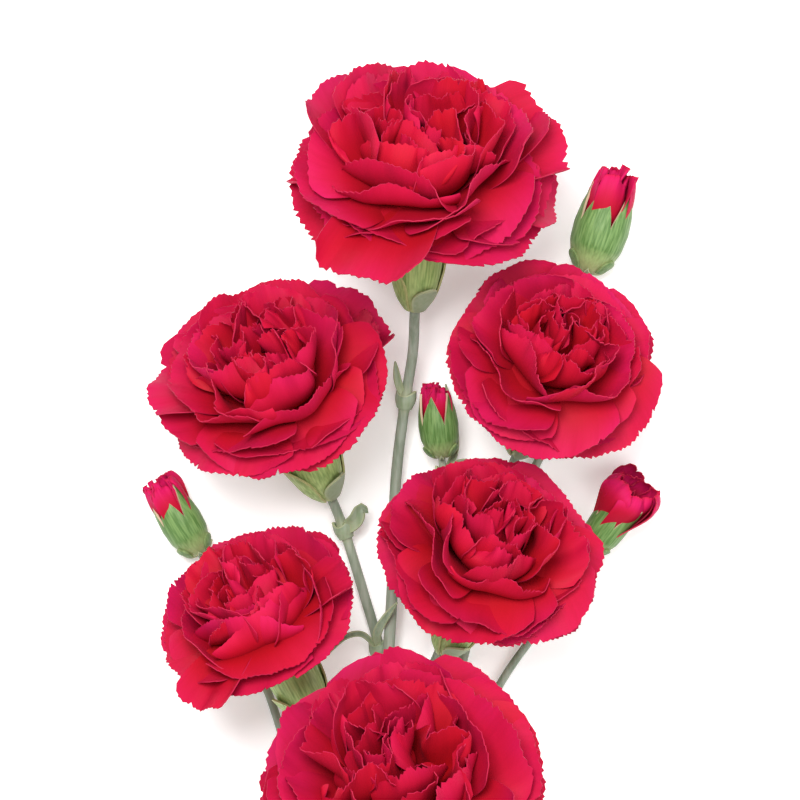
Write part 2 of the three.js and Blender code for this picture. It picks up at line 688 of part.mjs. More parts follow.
// A stem with swollen joints. grow widens it on every side, to cut what meets it.
function stemSolid(stem, grow = 0) {
  const flower = FLOWERS.find(({ name }) => name === stem.flower);
  const curve = smoothLine([...footOf(flower), ...stem.points]);
  const length = curve.getLength();
  const joints = stem.joints.map((i) => shareNearest(curve, stem.points[i - 1]));
  const shoulder = JOINT_LENGTH / length;
  const even = Math.round(length / RING_SPACING);
  const stops = counted(even + 1)
    .map((i) => i / even)
    .filter((share) => joints.every((joint) => Math.abs(joint - share) * length > 2 * JOINT_LENGTH))
    .concat(joints.flatMap((joint) => [joint - shoulder, joint, joint + shoulder]))
    .sort((a, b) => a - b);
  const radiusAt = (share) => {
    const swollen = joints.some((joint) => Math.abs(joint - share) * length < 0.5 * JOINT_LENGTH);
    return lerp(...stem.radius, share) * (swollen ? 1 + JOINT_SWELL : 1) + grow;
  };
  return tubeSolid(curve, stops, radiusAt, STEM_SIDES);
}

// A narrow leaf, folded along its middle and tapering to a point. grow thickens it.
function leafSolid({ half, points }, grow = 0) {
  const curve = smoothLine(points);
  const up = new THREE.Vector3(0, 0, 1);
  const stations = Math.max(3, Math.round(curve.getLength() / LEAF_STATION));
  const rows = counted(stations + 1).map((k) => {
    const share = k / stations;
    const centre = curve.getPointAt(share);
    const tangent = curve.getTangentAt(share);
    const across = tangent.clone().cross(up).normalize();
    const face = across.clone().cross(tangent);
    const width = half * (0.55 + 0.9 * Math.sqrt(share)) * (1 - share ** 3);
    const rise = centre.clone().addScaledVector(face, LEAF_FOLD * width);
    const edges = [-1, 1].map((side) => rise.clone().addScaledVector(across, side * width));
    return k === stations ? [centre] : [edges[0], centre, edges[1]];
  });
  return bladeSolid(rows, LEAF_THICKNESS + 2 * grow);
}

function leavesOf(stem, grow = 0) {
  return LEAVES.filter((leaf) => leaf.stem === stem.name).map((leaf) => leafSolid(leaf, grow));
}

// A stem with its leaves, cut clear of the stem it grows from.
function leafyStem(stem) {
  const solid = wasm.Manifold.union([stemSolid(stem), ...leavesOf(stem)]);
  if (stem.name === "stem_main") return solid;
  const bearer = STEMS.find(({ name }) => name === (stem.onto ?? "stem_main"));
  return solid.subtract(wasm.Manifold.union([stemSolid(bearer, GAP), ...leavesOf(bearer, GAP)]));
}

function makeStem(stem) {
  const mesh = new THREE.Mesh(toGeometry(leafyStem(stem).trimByPlane([0, 0, 1], 0)), STEM_GREEN);
  mesh.name = stem.name;
  return mesh;
}

const spray = new THREE.Group();
for (const flower of FLOWERS) spray.add(makeFlower(flower));
for (const stem of STEMS) spray.add(makeStem(stem));

export default spray;
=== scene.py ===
"""The looks of a cut spray carnation: petals, calyces, stems and leaves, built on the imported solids.

Metres, +Z up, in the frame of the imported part. Each flower is laid out in millimetres in a frame of
its own: Z runs out of its face, X lies level, and Y points down and forward. Then it is placed.
"""

import logging
import math
from dataclasses import astuple, dataclass, replace
from enum import Enum
from functools import partial
from typing import Any, Callable, Optional, Sequence, Union

import bpy
import numpy as np
from bpy.types import Material, Node, NodeSocket, NodeTree, Object
from mathutils import Matrix, Vector


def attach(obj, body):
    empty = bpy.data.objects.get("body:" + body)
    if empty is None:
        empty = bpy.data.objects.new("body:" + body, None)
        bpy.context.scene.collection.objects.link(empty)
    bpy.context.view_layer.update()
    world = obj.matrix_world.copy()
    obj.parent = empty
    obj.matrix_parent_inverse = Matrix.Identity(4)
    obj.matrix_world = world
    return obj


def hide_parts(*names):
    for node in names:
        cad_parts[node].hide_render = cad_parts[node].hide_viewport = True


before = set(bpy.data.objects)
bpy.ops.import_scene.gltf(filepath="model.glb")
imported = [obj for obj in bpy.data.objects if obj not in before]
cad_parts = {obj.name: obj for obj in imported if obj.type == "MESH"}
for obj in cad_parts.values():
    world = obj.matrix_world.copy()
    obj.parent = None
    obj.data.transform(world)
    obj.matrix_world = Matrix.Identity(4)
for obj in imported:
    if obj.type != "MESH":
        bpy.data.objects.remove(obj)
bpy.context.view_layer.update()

log = logging.getLogger("spray_carnation")

MM = 0.001
BODY = "root"

# Lengths in millimetres, unless a comment says otherwise.
PETAL_THICKNESS = 0.22
LEAF_THICKNESS = 0.5
SCALE_THICKNESS = 0.45
CALYX_WALL = 0.5
CLAW = 0.02  # the width of a petal's root, as a share of its full width
ROUNDNESS = 0.95  # how round a petal's margin is; 1 follows a circle about its root
MOST_ROUND = 0.85
ROUNDING = 0.1  # how far a petal's very corners fall short of the round of its margin
ROW_CROWDING = 1.4  # above 1, the rows of a petal's net crowd towards its margin
CRIMPS = (9, 17)  # how fast a lip is crimped, in radians over half its width
TEETH_SEED = 5000
TOOTH_DEPTH = 0.012  # of a petal's margin, either way, as a share of the flower's radius
PUCKER = 0.042  # how deep a petal is dented, as a share of the radius
SOFTNESS = 1.2  # how high above the surface a petal that meets it begins to bend
FACING = 18  # how far the petals at a bloom's sides turn to the front, in degrees
BUD_TONE = 2.4  # how pink the petals of a bud are; those of a bloom have 0.1 to 0.7
STRAY_TONE = 0.7
LEAVING = 0.38  # how far a petal's midline holds the way it leaves its root, as a share of the radius
ARRIVING = 0.4  # and how long before its end it takes the way in which it ends
ROOT_SHARE = 0.62  # how far out the outermost petals are rooted, as a share of the calyx's radius
USUAL_BELLY = 5.6
WHISKER = 4.0  # how long the narrow spreading scales below a bud are
LEAF_FOLD = 0.45  # how far the margins of a leaf stand up, as a share of half its width
LEAF_STEP = 0.7  # from one row of a leaf's net to the next
JOINT_SWELL = 0.5  # as a share of the stem's radius
JOINT_REACH = 1.5  # how far from its middle a joint is still swollen
JOINT_FRESHNESS = 2.4  # how far from its middle it is still fresh green
STEM_STEP = 1.2  # from one ring of a stem's skin to the next
FOOT_LENGTH = 2.0  # how far a stem runs on along its flower's axis
FOOT_GAP = 0.1  # between a calyx and its stem
PITH_EDGE = 0.35  # how wide the green ring round the pale pith of a cut stem is
SURFACE = 0.15  # how high the lowest petals lie above the surface

SHARE, UNDER, OVER = 0, 6, 7  # the inputs of a mix of two colours, whose names aren't unique

Point = tuple[float, float, float]
Pairs = tuple[tuple[float, float], ...]
Adder = Callable[..., Node]


# ------ names for choices
class Kind(Enum):
    """How far a flower has opened."""

    BLOOM = "open bloom"
    BOWL_BLOOM = "open bloom with its outer petals held up in a bowl"
    OPENING_BUD = "opening bud"
    CLOSED_BUD = "closed bud"

    @property
    def is_bud(self) -> bool:
        """Whether the flower is still a bud."""
        return self in (Kind.OPENING_BUD, Kind.CLOSED_BUD)


class Slot(Enum):
    """The material slots of the part's record."""

    PETALS = "petals"
    CALYX = "calyx"
    STEM = "stem"


# ------ colour and finishes
def linear(colour: str) -> tuple[float, float, float, float]:
    """An sRGB hex colour as the linear colour that a shader takes.

    Args:
        colour: Six hex digits after a hash sign.
    Returns:
        Linear red, green and blue, and full alpha.
    """
    parts = [int(colour[i : i + 2], 16) / 255 for i in (1, 3, 5)]
    red, green, blue = (
        part / 12.92 if part <= 0.04045 else ((part + 0.055) / 1.055) ** 2.4 for part in parts
    )
    return red, green, blue, 1.0


def add_node(
    tree: NodeTree, kind: str, inputs: Union[dict[Any, Any], Sequence[Any]] = (), **settings: Any
) -> Node:
    """Adds one shader node with its settings and links.

    Args:
        tree: The node tree of a material.
        kind: The node's type name, without its first word.
        inputs: What the inputs get, by name or number, or one after another: a value, the output
            that feeds it, or a node, which feeds it by its first output in use.
        settings: Values of the node's own properties; "stops" are (place, colour) pairs of a ramp.
    Returns:
        The node.
    """
    node = tree.nodes.new(f"ShaderNode{kind}")
    for name, value in settings.items():
        if name == "stops":
            elements = node.color_ramp.elements
            while len(elements) < len(value):
                elements.new(0.5)
            for element, (place, colour) in zip(elements, value):
                element.position = place
                element.color = linear(colour)
        else:
            setattr(node, name, value)
    for name, value in inputs.items() if isinstance(inputs, dict) else enumerate(inputs):
        if isinstance(value, Node):
            value = next(output for output in value.outputs if output.enabled)
        if isinstance(value, NodeSocket):
            tree.links.new(value, node.inputs[name])
        else:
            node.inputs[name].default_value = value
    return node


@dataclass(frozen=True)
class Finish:
    """A finish of the spray: a material with one principled shader."""

    name: str

    def paint(self, add: Adder) -> dict[str, Any]:
        """Adds the nodes of the finish.

        Args:
            add: Adds a node to the material.
        Returns:
            What each input of the shader gets.
        """
        raise NotImplementedError

    def build(self) -> Material:
        """Makes the material.

        Returns:
            The material.
        """
        material = bpy.data.materials.new(self.name)
        material.use_nodes = True
        tree = material.node_tree
        tree.nodes.clear()
        add = partial(add_node, tree)
        add("OutputMaterial", [add("BsdfPrincipled", self.paint(add))])
        return material


@dataclass(frozen=True)
class PetalSkin(Finish):
    """Carnation petal: a thin limp sheet whose cells scatter light.

    It gives the eye a velvet crimson. It is painted darker towards the claw as painted shade in the
    flower's heart, and painted more pink towards the margin as painted light. Pink patches differ at
    random, fine veins fan out from the claw, and a deeper red shows wherever petals light each other.
    Veins follow the petal's own UV map, patches the object's coordinates.
    """

    # painted shade: the darkest colour, at the claw, stands for the shade in the flower's heart
    claw: str
    middle: str
    blade: str
    # painted light: pink stands for the lit petal surface; it is also laid on in random patches
    pink: str
    vein: str
    sheen: str = "#ff5a86"
    veins_across: float = 40.0  # real veins stand 0.4 mm apart; drawn at 0.9 mm so that they show
    patch: float = 70.0  # soft patches about 14 mm across

    def paint(self, add: Adder) -> dict[str, Any]:
        """Adds the colour from claw to margin, pink patches and veins.

        Args:
            add: Adds a node to the material.
        Returns:
            What each input of the shader gets.
        """
        place = add("TexCoord").outputs
        outward = add("SeparateXYZ", [place["UV"]]).outputs["Y"]
        tone = add("Attribute", attribute_name="tone").outputs["Fac"]
        # painted shade: the ramp darkens from the margin to the claw, where the heart lies in shade
        ramp = [(0.0, self.claw), (0.55, self.middle), (1.0, self.blade)]
        colour = add("ValToRGB", [outward], stops=ramp)
        patches = add("TexNoise", {"Vector": place["Object"], "Scale": self.patch, "Detail": 2.0})
        pinkness = add("MapRange", (patches, 0.42, 0.7, 0.0, 0.3))
        # painted light: each petal's pink is greater on wide outer petals and at the back, which stand
        # in the light; the patches add pink at random
        lit_and_patchy_pink = add("Math", (tone, 0.7, pinkness), operation="MULTIPLY_ADD")
        # painted light: the pink grows towards the margin, where the lips stand in the light
        lip = (outward, 0.35, 1.0, 0.1, 1.0)
        margin = add("MapRange", lip, interpolation_type="SMOOTHSTEP")
        pink = add("Math", (lit_and_patchy_pink, margin), operation="MULTIPLY", use_clamp=True)
        fan = add("Mapping", {"Vector": place["UV"], "Scale": (self.veins_across, 2.2, 1.0)})
        grain = {"Vector": fan, "Scale": 1.0, "Detail": 3.0, "Roughness": 0.6}
        streaks = add("TexNoise", grain)
        veins = add("MapRange", (streaks, 0.4, 0.75, 0.0, 0.22))
        for share, tint in ((pink, self.pink), (veins, self.vein)):
            colour = add("Mix", {SHARE: share, UNDER: colour, OVER: linear(tint)}, data_type="RGBA")
        relief = {"Strength": 0.06, "Distance": 0.2 * MM, "Height": streaks}
        return {
            "Base Color": colour,
            "Roughness": add("MapRange", (patches, 0.3, 0.7, 0.52, 0.66)),
            "Normal": add("Bump", relief),
            "IOR": 1.4,
            "Specular IOR Level": 0.12,
            "Sheen Weight": 0.03,
            "Sheen Roughness": 0.5,
            "Sheen Tint": linear(self.sheen),
        }


@dataclass(frozen=True)
class PetalRim(Finish):
    """The torn-looking edge of a petal, where light comes through the thin margin.

    It gives the eye a fine lighter line along every lip: painted light, for light that comes through
    the thin margin.
    """

    name: str = "carnation_petal_rim"
    # painted light: the lighter colour stands for light that shines through the thin margin
    light: str = "#b01c46"
    deep: str = "#980f2a"
    grain: float = 900.0  # a change of colour about every millimetre

    def paint(self, add: Adder) -> dict[str, Any]:
        """Adds a grain of two colours, on the object's coordinates.

        Args:
            add: Adds a node to the material.
        Returns:
            What each input of the shader gets.
        """
        place = add("TexCoord").outputs["Object"]
        noise = add("TexNoise", {"Vector": place, "Scale": self.grain})
        tints = {SHARE: noise, UNDER: linear(self.deep), OVER: linear(self.light)}
        colour = add("Mix", tints, data_type="RGBA")
        return {"Base Color": colour, "Roughness": 0.6, "IOR": 1.4, "Specular IOR Level": 0.2}


@dataclass(frozen=True)
class CalyxSkin(Finish):
    """Carnation calyx: a tough green cup, ribbed along its length, with dry pale margins.

    It gives the eye fine darker ribs from foot to teeth, a yellower foot, and a cream line round
    the teeth. It reads the flower's own frame from the attribute "local", in millimetres.
    """

    body: str
    shade: str
    rib: str
    foot: str
    margin: str
    ribs: float = 52.0  # real ribs stand 0.4 mm apart; drawn at 0.7 mm so that they show

    def paint(self, add: Adder) -> dict[str, Any]:
        """Adds the green with its patches, ribs, foot and margins.

        Args:
            add: Adds a node to the material.
        Returns:
            What each input of the shader gets.
        """
        read = ("local", "height", "rim")
        local, height, rim = (add("Attribute", attribute_name=name).outputs for name in read)
        split = add("SeparateXYZ", [local["Vector"]]).outputs
        turn = add("Math", (split["Y"], split["X"]), operation="ARCTAN2")
        turns = add("Math", (turn, self.ribs), operation="MULTIPLY")
        wave = add("Math", [turns], operation="SINE")
        drawn_out = add("Mapping", {"Vector": local["Vector"], "Scale": (1.0, 1.0, 0.1)})
        grain = add("TexNoise", {"Vector": drawn_out, "Scale": 1.8, "Detail": 3.0})
        ribbing = add("Math", (wave, grain), operation="MULTIPLY")
        colour = linear(self.body)
        for share, tint in (
            (add("MapRange", (grain, 0.38, 0.66, 0.0, 1.0)), self.shade),
            (add("MapRange", (ribbing, 0.0, 0.6, 0.0, 0.3)), self.rib),
            (add("MapRange", (height["Fac"], 0.0, 0.3, 0.85, 0.0)), self.foot),
            (rim["Fac"], self.margin),
        ):
            colour = add("Mix", {SHARE: share, UNDER: colour, OVER: linear(tint)}, data_type="RGBA")
        relief = {"Strength": 0.12, "Distance": 0.1 * MM, "Height": wave}
        return {
            "Base Color": colour,
            "Roughness": add("MapRange", (grain, 0.3, 0.7, 0.42, 0.6)),
            "Normal": add("Bump", relief),
            "IOR": 1.45,
            "Specular IOR Level": 0.4,
        }


@dataclass(frozen=True)
class StemSkin(Finish):
    """Carnation stem and leaf: green under a thin grey coat of wax that rubs off in places.

    It gives the eye a dull grey-green with faint streaks along the stem, and a yellow-green where
    the attribute "fresh" says that a joint or a leaf's base is.
    """

    wax: str
    green: str
    fresh: str
    streak: float = 900.0  # streaks about a millimetre wide

    def paint(self, add: Adder) -> dict[str, Any]:
        """Adds the wax and its streaks, on the object's coordinates, whose Y runs along the spray.

        Args:
            add: Adds a node to the material.
        Returns:
            What each input of the shader gets.
        """
        place = add("TexCoord").outputs["Object"]
        fresh = add("Attribute", attribute_name="fresh").outputs["Fac"]
        drawn_out = add("Mapping", {"Vector": place, "Scale": (1.0, 0.1, 1.0)})
        streaks = add("TexNoise", {"Vector": drawn_out, "Scale": self.streak, "Detail": 3.0})
        rubbed = add("MapRange", (streaks, 0.38, 0.66, 0.0, 0.9))
        colour = linear(self.wax)
        for share, tint in ((rubbed, self.green), (fresh, self.fresh)):
            colour = add("Mix", {SHARE: share, UNDER: colour, OVER: linear(tint)}, data_type="RGBA")
        relief = {"Strength": 0.3, "Distance": 0.1 * MM, "Height": streaks}
        return {
            "Base Color": colour,
            "Roughness": add("MapRange", (streaks, 0.3, 0.7, 0.6, 0.45)),
            "Normal": add("Bump", relief),
            "IOR": 1.45,
            "Specular IOR Level": 0.35,
        }


@dataclass(frozen=True)
class PaperSweep(Finish):
    """Matt white studio paper on a light table: even, nearly white, with only pale shadows."""

    name: str = "white_studio_paper"
    colour: str = "#fbfbfb"
    fibre: float = 400.0  # coarse fibres, about 2.5 mm across
    glow: float = 0.22  # what comes through from the table

    def paint(self, add: Adder) -> dict[str, Any]:
        """Adds the fibres, which only change how rough the paper is.

        Args:
            add: Adds a node to the material.
        Returns:
            What each input of the shader gets.
        """
        place = add("TexCoord").outputs["Object"]
        fibres = add("TexNoise", {"Vector": place, "Scale": self.fibre})
        return {
            "Base Color": linear(self.colour),
            "Roughness": add("MapRange", (fibres, 0.3, 0.7, 0.9, 1.0)),
            "Specular IOR Level": 0.1,
            "Emission Color": linear(self.colour),
            "Emission Strength": self.glow,
        }


@dataclass(frozen=True)
class Wardrobe:
    """Every finish of the spray, each built once."""

    petal_back: Material
    shaded_petal_face: Material
    rim: Material
    bloom_calyx: Material
    bud_calyx: Material
    stem: Material
    leaf: Material
    paper: Material

    @classmethod
    def filled(cls) -> "Wardrobe":
        """Builds the finishes.

        Returns:
            The wardrobe with all of them.
        """
        finishes = (
            # painted shade: the face copy, on the petals' inner sides, is darker and redder than the
            # back copy, for the shade in the hollows
            PetalSkin("carnation_petal_back", "#820a0f", "#a60d1d", "#b5102e", "#b91453", "#980c22"),
            PetalSkin("carnation_petal_face", "#7e090a", "#9f0b15", "#af0e26", "#b3134f", "#900a19"),
            PetalRim(),
            CalyxSkin("ripe_calyx", "#b0c67c", "#84a05a", "#64803f", "#c2cb92", "#bcae7e"),
            CalyxSkin("young_calyx", "#6d8c50", "#4a6d31", "#395a28", "#acb17c", "#bca88c"),
            StemSkin("waxed_stem", "#949d8e", "#75836f", "#a6ae7e"),
            StemSkin("waxed_leaf", "#8a9885", "#6b8062", "#b2bb90"),
            PaperSweep(),
        )
        return cls(*(finish.build() for finish in finishes))


# ------ modelling helpers
class SeededDraw:
    """A seeded run of numbers from -1 to 1, by the same rule as the draws of the solids."""

    def __init__(self, seed: int) -> None:
        """Starts the run and passes over its first two numbers.

        Args:
            seed: Any whole number.
        """
        self.state = (seed * 7919 + 104729) % 2**32
        self()
        self()

    def __call__(self) -> float:
        """The next number."""
        self.state = (self.state * 1664525 + 1013904223) % 2**32
        return self.state / 2**32 * 2 - 1


def select_only(*pieces: Object) -> None:
    """Selects some pieces and nothing else.

    Args:
        pieces: What is selected; the first is made active.
    """
    bpy.ops.object.select_all(action="DESELECT")
    for piece in pieces:
        piece.select_set(True)
    if pieces:
        bpy.context.view_layer.objects.active = pieces[0]


def added(name: str, operator: Callable[..., Any], **settings: Any) -> Object:
    """Runs an operator that adds a piece, with nothing else selected.

    Args:
        name: The piece's name.
        operator: What adds it.
        settings: The operator's settings.
    Returns:
        The piece.
    """
    select_only()
    operator(**settings)
    piece = bpy.context.object
    piece.name = piece.data.name = name
    return piece


def new_grid(name: str, columns: int, rows: int) -> Object:
    """A flat net of square faces from -1 to 1, with a UV map.

    Args:
        name: The piece's name.
        columns: Faces along X.
        rows: Faces along Y.
    Returns:
        The piece.
    """
    grid_add = bpy.ops.mesh.primitive_grid_add
    return added(name, grid_add, x_subdivisions=columns, y_subdivisions=rows, size=2)


def copy_of(piece: Object, name: str) -> Object:
    """A copy of a piece, with a mesh of its own.

    Args:
        piece: What is copied.
        name: The name of the copy.
    Returns:
        The copy.
    """
    twin = piece.copy()
    twin.data = piece.data.copy()
    twin.name = twin.data.name = name
    bpy.context.scene.collection.objects.link(twin)
    return twin


def vertex_places(piece: Object) -> np.ndarray:
    """Where the vertices of a piece are.

    Args:
        piece: The piece.
    Returns:
        One row for each vertex, in metres.
    """
    places = np.empty(len(piece.data.vertices) * 3, np.float32)
    piece.data.vertices.foreach_get("co", places)
    return places.reshape(-1, 3).astype(float)


def move_vertices(piece: Object, places: np.ndarray) -> None:
    """Puts the vertices of a piece at these places, one row each."""
    piece.data.vertices.foreach_set("co", places.astype(np.float32).ravel())
    piece.data.update()


def mark(piece: Object, **values: np.ndarray) -> None:
    """Stores attributes of the vertices of a piece, for its material to read.

    Args:
        piece: The piece.
        values: By attribute, one number or one row of three for each vertex.
    """
    for name, rows in values.items():
        kind, key = ("FLOAT", "value") if rows.ndim == 1 else ("FLOAT_VECTOR", "vector")
        attribute = piece.data.attributes.new(name, kind, "POINT")
        attribute.data.foreach_set(key, rows.astype(np.float32).ravel())


def joined(pieces: Sequence[Object], name: str) -> Object:
    """Joins pieces into one.

    Args:
        pieces: What is joined.
        name: The name of the whole.
    Returns:
        The whole.
    """
    select_only(*pieces)
    if len(pieces) > 1:
        bpy.ops.object.join()
    whole = bpy.context.view_layer.objects.active
    whole.name = whole.data.name = name
    return whole


def give_wall(
    piece: Object, thickness: float, offset: float = 0.0, slots: tuple[int, int] = (0, 0)
) -> None:
    """Gives an open sheet its thickness.

    Args:
        piece: The sheet.
        thickness: In millimetres.
        offset: 0 for both sides alike, -1 for inwards.
        slots: How many material slots after the sheet's own its second side and its edge use.
    """
    select_only(piece)
    wall = piece.modifiers.new("wall", "SOLIDIFY")
    wall.thickness = thickness * MM
    wall.offset = offset
    wall.material_offset, wall.material_offset_rim = slots
    bpy.ops.object.modifier_apply(modifier=wall.name)


def finish_piece(piece: Object, nodes: Sequence[str], smooth: float = 50.0) -> None:
    """Shades a piece, sets it on the body and hides the solids that it stands for.

    Args:
        piece: A finished piece with its materials on.
        nodes: The solids that it replaces.
        smooth: The sharpest angle, in degrees, that is shaded smooth.
    """
    select_only(piece)
    bpy.ops.object.shade_smooth_by_angle(angle=math.radians(smooth))
    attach(piece, BODY)
    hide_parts(*nodes)
    log.info("%s: %d faces", piece.name, len(piece.data.polygons))


def new_cup(name: str, sides: int, stations: Sequence[tuple[float, float]]) -> Object:
    """A round cup with an open top, drawn up ring by ring from its floor.

    Args:
        name: The piece's name.
        sides: Vertices round it.
        stations: Radius and height of each ring, in millimetres, floor first.
    Returns:
        The piece, about its own Z axis, in metres.
    """
    radius, height = stations[0]
    circle_add = bpy.ops.mesh.primitive_circle_add
    piece = added(name, circle_add, vertices=sides, radius=radius * MM, fill_type="NGON")
    piece.data.transform(Matrix.Translation((0, 0, height * MM)))
    bpy.ops.object.mode_set(mode="EDIT")
    bpy.ops.mesh.select_all(action="SELECT")
    for next_radius, next_height in stations[1:]:
        rise = (next_height - height) * MM
        bpy.ops.mesh.extrude_region_move(TRANSFORM_OT_translate={"value": (0, 0, rise)})
        widen = next_radius / radius
        bpy.ops.transform.resize(value=(widen, widen, 1), center_override=(0, 0, next_height * MM))
        radius, height = next_radius, next_height
    bpy.ops.mesh.delete(type="ONLY_FACE")
    bpy.ops.object.mode_set(mode="OBJECT")
    return piece


def smooth_line(points: Sequence[Point], step: float) -> np.ndarray:
    """Points at an even spacing on a centripetal Catmull-Rom curve.

    Args:
        points: What the curve runs through, in millimetres.
        step: The spacing, in millimetres.
    Returns:
        One row for each point, first and last among them.
    """
    given = np.array(points, float)
    through = np.vstack([2 * given[0] - given[1], given, 2 * given[-1] - given[-2]])
    shares = np.linspace(0, 1, 41)[:, None]
    dense = []
    for p0, p1, p2, p3 in zip(through, through[1:], through[2:], through[3:]):
        d0, d1, d2 = (math.sqrt(np.linalg.norm(b - a)) for a, b in ((p0, p1), (p1, p2), (p2, p3)))
        leaving = ((p1 - p0) / d0 - (p2 - p0) / (d0 + d1) + (p2 - p1) / d1) * d1
        arriving = ((p2 - p1) / d1 - (p3 - p1) / (d1 + d2) + (p3 - p2) / d2) * d1
        square = -3 * p1 + 3 * p2 - 2 * leaving - arriving
        cube = 2 * p1 - 2 * p2 + leaving + arriving
        dense.append(p1 + leaving * shares + square * shares**2 + cube * shares**3)
    line = np.vstack([part[:-1] for part in dense] + [given[-1:]])
    run = np.concatenate([[0], np.cumsum(np.linalg.norm(np.diff(line, axis=0), axis=1))])
    stops = np.linspace(0, run[-1], max(3, round(run[-1] / step)) + 1)
    return np.stack([np.interp(stops, run, line[:, k]) for k in range(3)], axis=1)


def tangents(line: np.ndarray) -> np.ndarray:
    """The unit direction of a line at each of its points."""
    ways = np.gradient(line, axis=0)
    return ways / np.linalg.norm(ways, axis=1, keepdims=True)


def level_aside(way: np.ndarray) -> np.ndarray:
    """The level unit directions square to some directions."""
    side = np.cross(way, [0.0, 0.0, 1.0])
    return side / np.linalg.norm(side, axis=-1, keepdims=True)


def on_ground(points: np.ndarray) -> np.ndarray:
    """Points lifted so that none is below the ground."""
    return np.maximum(points, [-np.inf, -np.inf, 0.0])


# ------ the flowers' layout
@dataclass(frozen=True)
class Flower:
    """One flower of the spray, in millimetres and degrees.

    Attributes:
        mouth: Where the petals leave the calyx, in the part's frame.
        heading: The compass direction of its axis, from +Y towards +X.
        elevation: How far the axis looks up.
        radius: How far its petals reach.
        length: From the mouth down to the foot of the calyx.
        belly: The radius of the calyx at its widest.
        seed: Settles its small irregularities.
        turn: How far its rings are turned about its axis.
        strays: Petals that stand out of the rings.
        share: How far its petals reach at the back and in front, as shares of what their ring says.
    """

    name: str
    kind: Kind
    mouth: Point
    heading: float
    elevation: float
    radius: float
    length: float
    belly: float
    seed: int
    turn: float = 0.0
    strays: tuple["Ring", ...] = ()
    share: tuple[float, float] = (1.0, 1.0)

    @property
    def axes(self) -> np.ndarray:
        """The flower's own axes in the part's frame.

        Returns:
            The level axis, the down-and-forward axis and the outward axis, one row each.
        """
        heading, elevation = math.radians(self.heading), math.radians(self.elevation)
        east, north = math.sin(heading), math.cos(heading)
        level_share = math.cos(elevation)
        outward = np.array([east * level_share, north * level_share, math.sin(elevation)])
        level = np.array([north, -east, 0.0])
        return np.stack([level, np.cross(outward, level), outward])

    def placed(self, points: np.ndarray) -> np.ndarray:
        """Points of the flower's own frame, in millimetres in the part's frame."""
        return np.array(self.mouth) + points @ self.axes

    def behind(self, distance: float) -> Point:
        """The point on the axis this far behind the foot of the calyx."""
        return tuple(np.array(self.mouth) - self.axes[2] * (self.length + distance))


@dataclass(frozen=True)
class Bearing:
    """How the petals of a ring stand, on one side of the flower. Angles in degrees.

    Attributes:
        tip: The angle of the margin from the flower's axis.
        lean: The direction in which a petal leaves its root, from the flower's axis.
        end: The direction in which it ends.
        reach: How far its margin stands from the mouth of the calyx, as a share of the radius.
    """

    tip: float
    lean: float
    end: float
    reach: float

    def towards(self, other: "Bearing", share: float) -> "Bearing":
        """The bearing part of the way to another one."""
        mine, theirs = np.array(astuple(self)), np.array(astuple(other))
        return Bearing(*(mine + (theirs - mine) * share).tolist())


@dataclass(frozen=True)
class Ring:
    """One ring of petals. Angles in degrees; other sizes are shares of the flower's radius.

    Attributes:
        number: Seeds its petals; an odd ring stands half a petal further round.
        count: How many petals.
        back: How petals stand on the side that faces away from the camera.
        front: How they stand on the side that faces it, where they cup over the heart.
        half_width: Half the petal's full width.
        cup: The radius it is curved across.
        roll: How far it is rolled so that it overlaps its neighbour.
        ruffle: The height of its broad waves.
        fold: How far it is folded across, in radians.
        frill: How far its lip is crimped, in radians.
        wander: How far its end may stray from the ring's.
        columns: Faces across one petal.
        claw: The width of its root, as a share of its full width.
        pulls: Points that draw the midline instead, as shares out from and along the axis.
        azimuth: Where its one petal stands, in degrees, if it isn't spaced round the flower.
    """

    number: int
    count: int
    back: Bearing
    front: Bearing
    half_width: float
    cup: float
    roll: float
    ruffle: float
    fold: float = 0.2
    frill: float = 0.2
    wander: float = 0.0
    columns: int = 40
    claw: float = CLAW
    pulls: Pairs = ()
    azimuth: Optional[float] = None

    @property
    def tone(self) -> float:
        """How pink its petals are in a bloom: painted light, most pink on the wide outer petals."""
        return 1.2 * self.half_width - 0.25 if self.azimuth is None else STRAY_TONE


